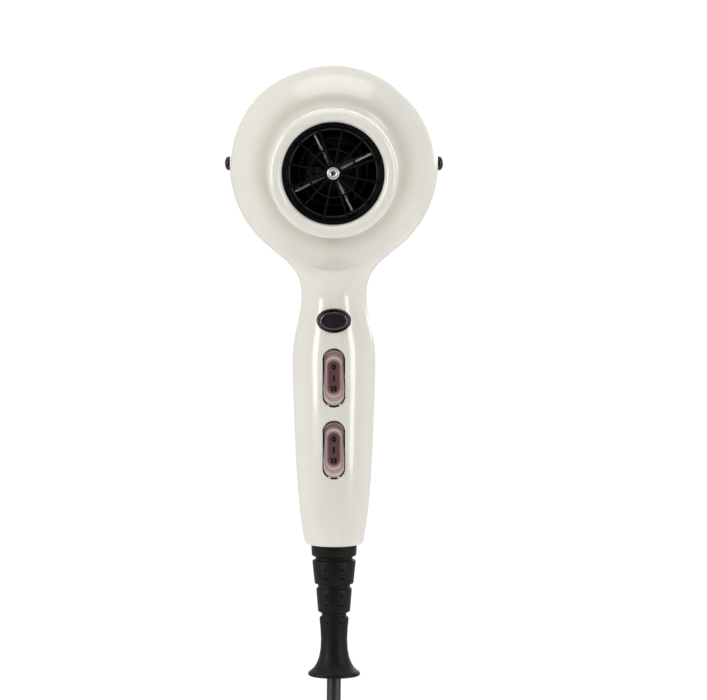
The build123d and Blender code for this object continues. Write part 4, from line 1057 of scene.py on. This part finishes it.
front_cutters = [slot_cutter((0, 61, z), 9.8, 25.8, 16) for z in (SPEED_Z, HEAT_Z)]
front_cutters.append(cylinder((0, 61, COOL_Z), 7.45, 14, "Y", 64, (1, 1, 10.3 / 14.9)))
front_cutters.append(cylinder((0, 80, -166), 9.9, 3.4, "Z", 64))
cut(front_half, joined(front_cutters))
rear_cutters = [cylinder((0, 80, -166), 9.9, 3.4, "Z", 64)]
rear_cutters += [cylinder((0, 98, z), 3.0, 22, "Y", 32) for z in (-107.2, -140.0)]
rear_cutters.append(cylinder((0, 105, 40.1), 3.0, 34, "Y", 32))
rear_cutters += [cylinder((side * 46, 88, 0), 3.3, 4, "X", 32) for side in (-1, 1)]
cut(rear_half, joined(rear_cutters))
for half in (front_half, rear_half):
    take(half)
    print(half.name, "after cutting", len(half.data.polygons), "faces")

# %% [markdown]
# Only the rims are sharp now, so a Bevel limited by angle rounds them all at once.

# %% Rounding the rims
for half in (front_half, rear_half):
    apply_modifier(
        half, "BEVEL", width=0.22 * MM, segments=2, limit_method="ANGLE", angle_limit=radians(50),
        use_clamp_overlap=True,
    )
finish_piece(
    front_half, "shell_front_moulding", pearl["material"], instead_of=["front_shell"],
    sharp=45,
)
finish_piece(
    rear_half, "shell_rear_moulding", pearl["material"], instead_of=["rear_shell"],
    sharp=45,
)

# %% [markdown]
# ## The outlet ring
# The white ring round the outlet is the barrel's rolled lip. It is turned: a straight bore, a
# half round over the front edge, the smooth land where attachments seat, and a spigot that
# goes inside the barrel. The lip is a separate moulding, so its own edge shows as a fine line.

# %% Outlet ring
LIP_ROLL, LIP_MIDDLE_Y, LIP_MIDDLE_RADIUS = 2.83, -4.15, 24.35
ring_stations = [(12.0, 22.0), (11.8, 21.7), (6.0, 21.55), (LIP_MIDDLE_Y, LIP_MIDDLE_RADIUS - LIP_ROLL)]
ring_stations += arc(LIP_MIDDLE_Y, LIP_MIDDLE_RADIUS, LIP_ROLL, -90, -270, 14)[1:]
ring_stations += [
    (0, 27.18), (3.6, 27.18), (3.92, 26.95), (3.95, 26.5), (3.97, 24.2), (4.3, 23.9), (11.6, 23.85),
    (12.0, 23.6), (12.0, 22.0),
]
outlet_lip = turned([(y * MM, r * MM) for y, r in ring_stations], "Y", vertices=128, closed=True)
finish_piece(
    outlet_lip, "outlet_lip", ring_white["material"], instead_of=["outlet_ring"],
    sharp=40,
)

# %% [markdown]
# ## The grille
# The grille keeps fingers out of the heater: a deep rim, a middle ring, twelve thin blades and
# a hub with a bright eyelet riveted into it. One blade is modelled and copied round the axis.

# %% Grille rim, ring and hub
rim = turned(
    in_metres(
        [
            (-1.2, 21.35), (-1.5, 21.1), (-1.5, 20.6), (-1.1, 20.2), (1.2, 19.9), (1.6, 19.0), (1.9, 18.85),
            (4.8, 18.85), (5.0, 19.0), (5.0, 21.2), (4.8, 21.4), (-1.2, 21.35),
        ]
    ),
    "Y", vertices=128, closed=True,
)
middle_ring = turned(
    in_metres(
        [(-1.4, 9.75), (-1.5, 10.1), (-1.4, 10.45), (1.6, 10.5), (1.7, 10.1), (1.6, 9.7), (-1.4, 9.75)]
    ),
    "Y", vertices=72, closed=True,
)
hub = turned(
    in_metres([(-1.55, 1.3), (-1.6, 2.9), (-1.3, 3.45), (1.5, 3.6), (1.7, 3.4), (1.7, 1.3), (-1.55, 1.3)]),
    "Y", vertices=48, closed=True,
)

blade = rounded_box((12.2 * MM, 0.1 * MM, 0), (17.8 * MM, 3.1 * MM, 0.95 * MM), 0.28 * MM, 3)
blades = []
for i in range(12):
    piece = copied(blade) if i < 11 else blade
    piece.rotation_euler = (0, radians(-18 - 30 * i), 0)
    blades.append(piece)
for piece in blades:
    take(piece)
    bpy.ops.object.transform_apply(location=True, rotation=True, scale=True)
grille = joined([rim, middle_ring, hub] + blades)
finish_piece(
    grille, "outlet_grille", grille_black["material"], instead_of=["front_grille"],
    sharp=40,
)

# %% [markdown]
# The eyelet is a small rolled tube, so it is turned too, with its flare in front of the hub.

# %% Eyelet
eyelet = turned(
    in_metres(
        [
            (3.4, 1.08), (-1.5, 1.06), (-1.85, 1.25), (-2.0, 1.6), (-2.0, 2.2), (-1.85, 2.5), (-1.66, 2.58),
            (-1.62, 2.3), (-1.6, 1.32), (1.9, 1.3), (3.4, 1.25), (3.4, 1.08),
        ]
    ),
    "Y", vertices=64, closed=True,
)
finish_piece(
    eyelet, "hub_rivet", eyelet_metal["material"], instead_of=["hub_eyelet"], sharp=50,
)

# %% [markdown]
# ## The rockers
# Each switch has a three-position rocker in a rounded slot. Its top is a long oval, hollowed
# like a saddle so that a thumb finds the middle, and it steps down to a wider skirt that fills
# the slot when the rocker is tilted. It is extruded upright through its steps, the saddle is
# cut with a large cylinder, the edges are bevelled, and then it is tilted about its pin, with
# the upper end pressed in. The marks 0, I and II are thin printed shapes that ride with it.

# %% Rocker shape
ROCKER_TILT = 12
SADDLE_RADIUS, SADDLE_CENTRE = 32.36, 38.36
CAP_DROP = 1.3
# half width, half height, distance in front of the pin, how far the step's middle is dropped
ROCKER_STEPS = [
    (4.5, 13.1, 2.0, 0), (4.5, 12.85, 3.2, 0), (4.5, 12.4, 4.5, 0), (4.48, 12.15, 5.1, 0),
    (4.4, 11.95, 5.3, 0), (4.28, 11.3, 5.4, 0.45), (4.24, 11.2, 5.95, 0.45), (4.16, 11.05, 6.1, 0.45),
    (4.06, 10.5, 6.15, 0.9), (4.02, 10.4, 6.65, 0.9), (3.95, 10.25, 6.8, 0.9), (3.86, 9.8, 6.85, CAP_DROP),
    (3.82, 9.7, 7.4, CAP_DROP), (3.7, 9.5, 8.1, CAP_DROP),
]


def oval_ring(half_width, half_height, depth, segments=40):
    """A flat stadium of corner points, for extruding outwards. Sizes in millimetres."""
    clear_selection()
    bpy.ops.mesh.primitive_plane_add(size=1, location=(0, -depth * MM, 0), rotation=(pi / 2, 0, 0))
    piece = bpy.context.object
    piece.scale = (2 * half_width * MM, 2 * half_height * MM, 1)
    bpy.ops.object.transform_apply(location=True, rotation=True, scale=True)
    edit_all()
    bpy.ops.mesh.bevel(offset=half_width * MM * 0.995, segments=segments // 4, affect="VERTICES")
    bpy.ops.object.mode_set(mode="OBJECT")
    return piece


def make_rocker(pivot_y, middle_z):
    piece = oval_ring(*ROCKER_STEPS[0][:3])
    edit_all()
    for (x_before, z_before, d_before, drop_before), (half_x, half_z, depth, drop) in zip(
        ROCKER_STEPS, ROCKER_STEPS[1:],
    ):
        move = (0, -(depth - d_before) * MM, -(drop - drop_before) * MM)
        bpy.ops.mesh.extrude_region_move(TRANSFORM_OT_translate={"value": move})
        bpy.ops.transform.resize(
            value=(half_x / x_before, 1, half_z / z_before), center_override=(0, 0, -drop * MM),
        )
    edit_all()
    bpy.ops.mesh.normals_make_consistent(inside=False)
    bpy.ops.object.mode_set(mode="OBJECT")
    cut(piece, cylinder((0, -SADDLE_CENTRE, -CAP_DROP), SADDLE_RADIUS, 20, "X", 256))
    apply_modifier(
        piece, "BEVEL", width=0.14 * MM, segments=3, limit_method="ANGLE", angle_limit=radians(32),
        use_clamp_overlap=True,
    )
    piece.rotation_euler = (radians(-ROCKER_TILT), 0, 0)
    piece.location = (0, pivot_y * MM, middle_z * MM)
    return piece


def mark_shape(kind, z):
    """One printed mark, lying on the saddle at height z. Sizes in millimetres."""
    lean = asin(z / SADDLE_RADIUS)
    depth = SADDLE_CENTRE - SADDLE_RADIUS * cos(lean)
    if kind == "0":
        shapes = [
            turned(
                in_metres(
                    [(-0.04, 0.32), (-0.05, 0.7), (-0.04, 1.08), (0.12, 1.08), (0.12, 0.32), (-0.04, 0.32)]
                ),
                "Y", vertices=32, closed=True,
            )
        ]
        take(shapes[0])
        shapes[0].scale = (0.86, 1, 1.2)
        bpy.ops.object.transform_apply(location=True, rotation=True, scale=True)
    else:
        places = [0] if kind == "I" else [-0.68, 0.68]
        shapes = [
            rounded_box((x * MM, 0.035 * MM, 0), (0.98 * MM, 0.17 * MM, 2.5 * MM), 0.06 * MM, 2)
            for x in places
        ]
    shape = joined(shapes)
    shape.rotation_euler = (lean, 0, 0)
    shape.location = (0, -depth * MM, (z - CAP_DROP) * MM)
    take(shape)
    bpy.ops.object.transform_apply(location=True, rotation=True, scale=True)
    return shape


mark_ink = finish_of(
    "mark_ink", (0.006, 0.002, 0.003), (0.010, 0.004, 0.005), 0.6, 0.1, grain=2000.0, depth=0.2, tone=300.0,
    worn=(0.03, 0.015, 0.015), dust=0.0, specular_ior_level=0.15,
)
for switch, pivot_y, middle_z in (("speed", 66.72, SPEED_Z), ("heat", 67.77, HEAT_Z)):
    rocker = make_rocker(pivot_y, middle_z)
    finish_piece(rocker, switch + "_rocker_cap", rocker_brown["material"], body=switch + "_rocker",
                 instead_of=[switch + "_rocker"], sharp=30)
    marks = joined([mark_shape("0", 4.7), mark_shape("I", 0.0), mark_shape("II", -4.7)])
    marks.rotation_euler = (radians(-ROCKER_TILT), 0, 0)
    marks.location = (0, pivot_y * MM, middle_z * MM)
    finish_piece(
        marks, switch + "_marks", mark_ink["material"], body=switch + "_rocker",
        sharp=40,
    )

# %% [markdown]
# ## The cool-shot button
# An oval push button sits in a thin black bezel that follows the curve of the handle. Modelling
# that curve again would be slow, so both start as copies of the imported pieces: their loose
# triangles are merged, the bezel's hole is cut wider, and the button is scaled to fill it. The
# spring behind it is a merged copy too.

# %% Bezel and button
BEZEL_HOLE, HOLE_SQUASH = 6.4, 4.25 / 6.4
BUTTON_GROWTH = (6.12 / 5.42, 1, 3.95 / 3.12)


def merged_copy(name):
    """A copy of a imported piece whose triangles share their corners."""
    piece = copied(nodes[name])
    for tag in list(piece.keys()):
        del piece[tag]  # the copy is a piece of its own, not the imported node
    edit_all()
    bpy.ops.mesh.remove_doubles(threshold=1e-6)
    bpy.ops.object.mode_set(mode="OBJECT")
    return piece


thin_bezel = merged_copy("cool_shot_bezel")
cut(thin_bezel, cylinder((0, 66, COOL_Z), BEZEL_HOLE, 24, "Y", 72, (1, 1, HOLE_SQUASH)))
button = merged_copy("cool_shot_button")
edit_all()
bpy.ops.transform.resize(value=BUTTON_GROWTH, center_override=(0, 0, COOL_Z * MM))
bpy.ops.object.mode_set(mode="OBJECT")
spring = merged_copy("cool_shot_spring")
finish_piece(
    thin_bezel, "cool_shot_surround", bezel_black["material"], instead_of=["cool_shot_bezel"],
    sharp=35,
)
finish_piece(button, "cool_shot_cap", gloss_black["material"], body="cool_shot_button",
             instead_of=["cool_shot_button"], sharp=35)
finish_piece(
    spring, "cool_shot_return_spring", spring_steel["material"], instead_of=["cool_shot_spring"],
    sharp=40,
)
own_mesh(spring)

# %% [markdown]
# ## The strain relief
# The rubber sleeve below the handle lets the cord bend without kinking: a collar, three
# tapered segments with grooves between them, and a stem that flares like a trumpet. It is
# turned about the handle's axis, and rows of small pockets, where the rubber is thinned, are
# cut with one joined cutter.

# %% Strain relief
relief_stations = [
    (-163.5, 3.2), (-162.2, 3.3), (-162.1, 6.6), (-162.3, 6.8), (-163.3, 6.8), (-163.5, 6.6),
    (-163.55, 5.0), (-166.0, 5.0), (-166.05, 9.8), (-166.3, 10.0), (-170.7, 9.75), (-171.0, 9.55),
    (-171.6, 8.2), (-171.9, 8.1), (-172.4, 8.1), (-172.6, 8.2), (-173.1, 9.3), (-173.5, 9.5),
    (-182.9, 8.55), (-183.3, 8.35), (-183.8, 7.1), (-184.0, 7.0), (-184.8, 7.0), (-185.0, 7.1),
    (-185.5, 7.7), (-185.9, 7.8), (-195.3, 7.05), (-195.7, 6.85), (-196.3, 5.5), (-196.6, 5.4),
    (-197.4, 5.4), (-197.6, 5.5), (-198.3, 6.3), (-198.8, 6.4), (-203.0, 6.0), (-208.0, 5.75),
    (-212.5, 6.0), (-216.0, 6.65), (-218.6, 7.7), (-220.4, 8.8), (-221.6, 10.1), (-222.3, 11.1),
    (-222.9, 11.4), (-223.6, 11.35), (-224.0, 10.8), (-223.8, 7.0), (-223.4, 3.4), (-222.5, 3.15),
    (-170.0, 3.15), (-163.5, 3.2),
]
relief = turned(
    [(z * MM, r * MM) for z, r in relief_stations], "Z", centre=(0, AXIS_Y, 0), vertices=96, closed=True,
)
pocket = rounded_box((0, AXIS_Y - 8 * MM, -180 * MM), (2.2 * MM, 6 * MM, 0.9 * MM), 0.3 * MM, 2)
pockets = []
for lean in (22, 158, 202, 338):
    for row in range(7):
        height = -176.6 - 3.95 * row
        piece = copied(pocket)
        depth_there = 9.2 + (height + 175) * 0.113
        take(piece)
        piece.location = (0, (8 - depth_there - 2.35) * MM, (height + 180) * MM)
        bpy.ops.object.transform_apply(location=True, rotation=True, scale=True)
        edit_all()
        bpy.ops.transform.rotate(
            value=radians(lean), orient_axis="Z", center_override=(0, AXIS_Y, height * MM),
        )
        bpy.ops.object.mode_set(mode="OBJECT")
        pockets.append(piece)
bpy.data.objects.remove(pocket, do_unlink=True)
cut(relief, joined(pockets))
finish_piece(
    relief, "cord_sleeve", rubber_black["material"], instead_of=["strain_relief"],
    sharp=38,
)

# %% [markdown]
# ## The side caps
# Two black rubber caps close the hanging screws at the head's sides. Each is a shallow dome
# on a short neck, turned along the sideways axis, and copied by mirroring its stations.

# %% Side caps
side_caps = []
for side in (-1, 1):
    dome = [
        (44.9, 2.9), (45.3, 3.1), (45.9, 3.12), (46.4, 2.98), (46.85, 2.6), (47.2, 2.05), (47.43, 1.4),
        (47.56, 0.7), (47.6, 0.05),
    ]
    side_caps.append(
        turned(
            [(side * x * MM, r * MM) for x, r in dome], "X", centre=(0, 88 * MM, 0), vertices=40,
            capped=True,
        )
    )
caps = joined(side_caps)
take(caps)
edit_all()
bpy.ops.mesh.fill_holes(sides=0)
bpy.ops.object.mode_set(mode="OBJECT")
finish_piece(
    caps, "side_plugs", cap_black["material"], instead_of=["side_screw_caps"], sharp=40,
)

# %% [markdown]
# ## The hank's strap
# A woven strap holds the folded cord at its waist. It is a band bent round the strands: a
# rounded outline is extruded to the strap's height, its ends are left open, and a Solidify
# gives it thickness. Its loose end is a short tab laid over the band.

# %% Strap
clear_selection()
bpy.ops.mesh.primitive_plane_add(size=1, location=(0, 91.0 * MM, (WAIST_Z - 4.5) * MM), scale=(1, 1, 1))
strap = bpy.context.object
strap.scale = (28.2 * MM, 29.0 * MM, 1)
bpy.ops.object.transform_apply(location=True, rotation=True, scale=True)
edit_all()
bpy.ops.mesh.bevel(offset=8 * MM, segments=8, affect="VERTICES")
bpy.ops.mesh.delete(type="ONLY_FACE")
edit_all()
bpy.ops.mesh.extrude_region_move(TRANSFORM_OT_translate={"value": (0, 0, 9 * MM)})
bpy.ops.object.mode_set(mode="OBJECT")
apply_modifier(strap, "SOLIDIFY", thickness=1.2 * MM, offset=1)
apply_modifier(strap, "BEVEL", width=0.35 * MM, segments=2, limit_method="ANGLE", angle_limit=radians(50))
tab = rounded_box((3.0 * MM, 75.0 * MM, WAIST_Z * MM), (16 * MM, 1.1 * MM, 8.6 * MM), 0.35 * MM, 2)
strap = joined([strap, tab])
finish_piece(
    strap, "hank_strap", strap_fabric["material"], instead_of=["hank_tie"], sharp=40,
)

# %% [markdown]
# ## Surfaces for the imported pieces
# The motor, heater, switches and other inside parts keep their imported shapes, because they
# are already exact. Each gets its finish here; only material slots are touched.

# %% Finishes by piece
FINISH_OF_NODE = {
    "heat_shield": shield_metal, "mica_board_a": mica, "mica_board_b": mica, "heating_coils": heating_wire,
    "thermostat": bakelite, "thermal_fuse": fuse_metal, "motor_carrier": grey_carrier,
    "motor_can": motor_steel, "motor_end_cap": white_nylon, "cord_clamp": white_nylon,
    "terminal_block": white_nylon, "front_bearing": sintered_bronze, "rear_bearing": sintered_bronze,
    "motor_magnets": magnet_ferrite, "armature_core": lamination_steel,
    "armature_windings": enamelled_copper, "commutator": commutator_copper, "motor_shaft": polished_steel,
    "speed_rocker_pin": polished_steel, "heat_rocker_pin": polished_steel, "brushes": carbon,
    "brush_springs": spring_brass, "rectifier_board": circuit_board, "diodes": diode_black,
    "impeller": fan_plastic, "rear_filter_cap": filter_black, "filter_mesh": mesh_steel,
    "shell_screws": screw_steel, "side_screws": screw_steel, "clamp_screws": screw_steel,
    "speed_switch_body": switch_nylon, "heat_switch_body": switch_nylon, "cool_shot_switch": switch_nylon,
    "switch_terminals": terminal_brass, "live_wire": brown_insulation, "neutral_wire": blue_insulation,
    "cord_inner_end": cord_black, "plug_body": rubber_black, "plug_pins": pin_nickel,
}
for name, finish in FINISH_OF_NODE.items():
    slots = nodes[name].material_slots
    if not slots:
        print("no slot on", name)
    for material_slot in slots:
        material_slot.material = finish["material"]
mains_cord.data.materials.append(cord_black["material"])
print("packed pieces with a finish:", len(FINISH_OF_NODE))

# %% [markdown]
# ## Light and floor
# A white product needs a dim room to have any shape. The backdrop is white, and the room is
# bright behind the object and dim and slightly warm in front of it. Two tall soft boxes at the
# sides draw the bright bands on the handle. One box hangs above, one stands behind, and a small
# one near the camera lifts the dark outlet. The floor is a pale disc well under the object.

# %% Studio
ROOM_FRONT, ROOM_BACK = 0.09, 0.72  # how bright the room is behind the camera and behind the object
BACKDROP = 1.05
MIDDLE, LOWER_MIDDLE = (0, 0.06, -0.05), (0, 0.06, -0.1)
world = bpy.data.worlds.new("studio")
bpy.context.scene.world = world
world.use_nodes = True
background = world.node_tree.nodes["Background"]
paths = world.node_tree.nodes.new("ShaderNodeLightPath")
room = world.node_tree.nodes.new("ShaderNodeBackground")
direction = world.node_tree.nodes.new("ShaderNodeTexCoord")
parts_of_direction = world.node_tree.nodes.new("ShaderNodeSeparateXYZ")
ahead = world.node_tree.nodes.new("ShaderNodeMapRange")
ahead.interpolation_type = "SMOOTHSTEP"
ahead.inputs["From Min"].default_value = -0.75
ahead.inputs["From Max"].default_value = 0.35
ahead.inputs["To Min"].default_value = ROOM_FRONT
ahead.inputs["To Max"].default_value = ROOM_BACK
world.node_tree.links.new(direction.outputs["Generated"], parts_of_direction.inputs[0])
world.node_tree.links.new(parts_of_direction.outputs["Y"], ahead.inputs["Value"])
world.node_tree.links.new(ahead.outputs["Result"], room.inputs["Strength"])
warmth = world.node_tree.nodes.new("ShaderNodeMix")
warmth.data_type = "RGBA"
warmth.inputs["A"].default_value = (1.0, 0.93, 0.86, 1)
warmth.inputs["B"].default_value = (1.0, 0.99, 0.965, 1)
world.node_tree.links.new(ahead.outputs["Result"], warmth.inputs["Factor"])
world.node_tree.links.new(warmth.outputs["Result"], room.inputs["Color"])
background.inputs["Color"].default_value = (1, 1, 1, 1)
background.inputs["Strength"].default_value = BACKDROP
either = world.node_tree.nodes.new("ShaderNodeMixShader")
world.node_tree.links.new(paths.outputs["Is Camera Ray"], either.inputs[0])
world.node_tree.links.new(room.outputs[0], either.inputs[1])
world.node_tree.links.new(background.outputs[0], either.inputs[2])
world.node_tree.links.new(either.outputs[0], world.node_tree.nodes["World Output"].inputs["Surface"])


def soft_box(name, location, aim, width, height, power, colour=(1, 1, 1)):
    light = bpy.data.lights.new(name, "AREA")
    light.shape = "RECTANGLE"
    light.size, light.size_y = width, height
    light.energy = power
    light.color = colour
    lamp = bpy.data.objects.new(name, light)
    lamp.location = location
    lamp.rotation_euler = (Vector(aim) - Vector(location)).to_track_quat("-Z", "Y").to_euler()
    bpy.context.scene.collection.objects.link(lamp)
    return lamp


soft_box("left_box", (-1.7, -0.95, 0.35), MIDDLE, 0.55, 1.6, 24)
soft_box("right_box", (1.75, -0.95, 0.2), MIDDLE, 0.55, 1.6, 20)
soft_box("top_box", (0, -0.2, 1.5), LOWER_MIDDLE, 1.6, 1.0, 9)
fill = soft_box("camera_fill", (0.1, -2.3, 0.6), MIDDLE, 0.3, 0.3, 8)
fill.visible_glossy = False  # it lifts the dark outlet without a bright spot on the gloss
soft_box("back_box", (0.3, 1.7, 0.5), LOWER_MIDDLE, 1.6, 1.2, 11)

bpy.context.scene.view_settings.view_transform = "Standard"

FLOOR_Z = -0.56
clear_selection()
bpy.ops.mesh.primitive_circle_add(vertices=96, radius=1.3, fill_type="NGON", location=(0, 0.3, FLOOR_Z))
floor = bpy.context.object
floor.name = "studio_floor"
floor_paint = bpy.data.materials.new("pale_floor")
floor_paint.use_nodes = True
floor_shader = floor_paint.node_tree.nodes["Principled BSDF"]
floor_shader.inputs["Base Color"].default_value = (0.86, 0.855, 0.84, 1)
floor_shader.inputs["Roughness"].default_value = 0.6
floor.data.materials.append(floor_paint)
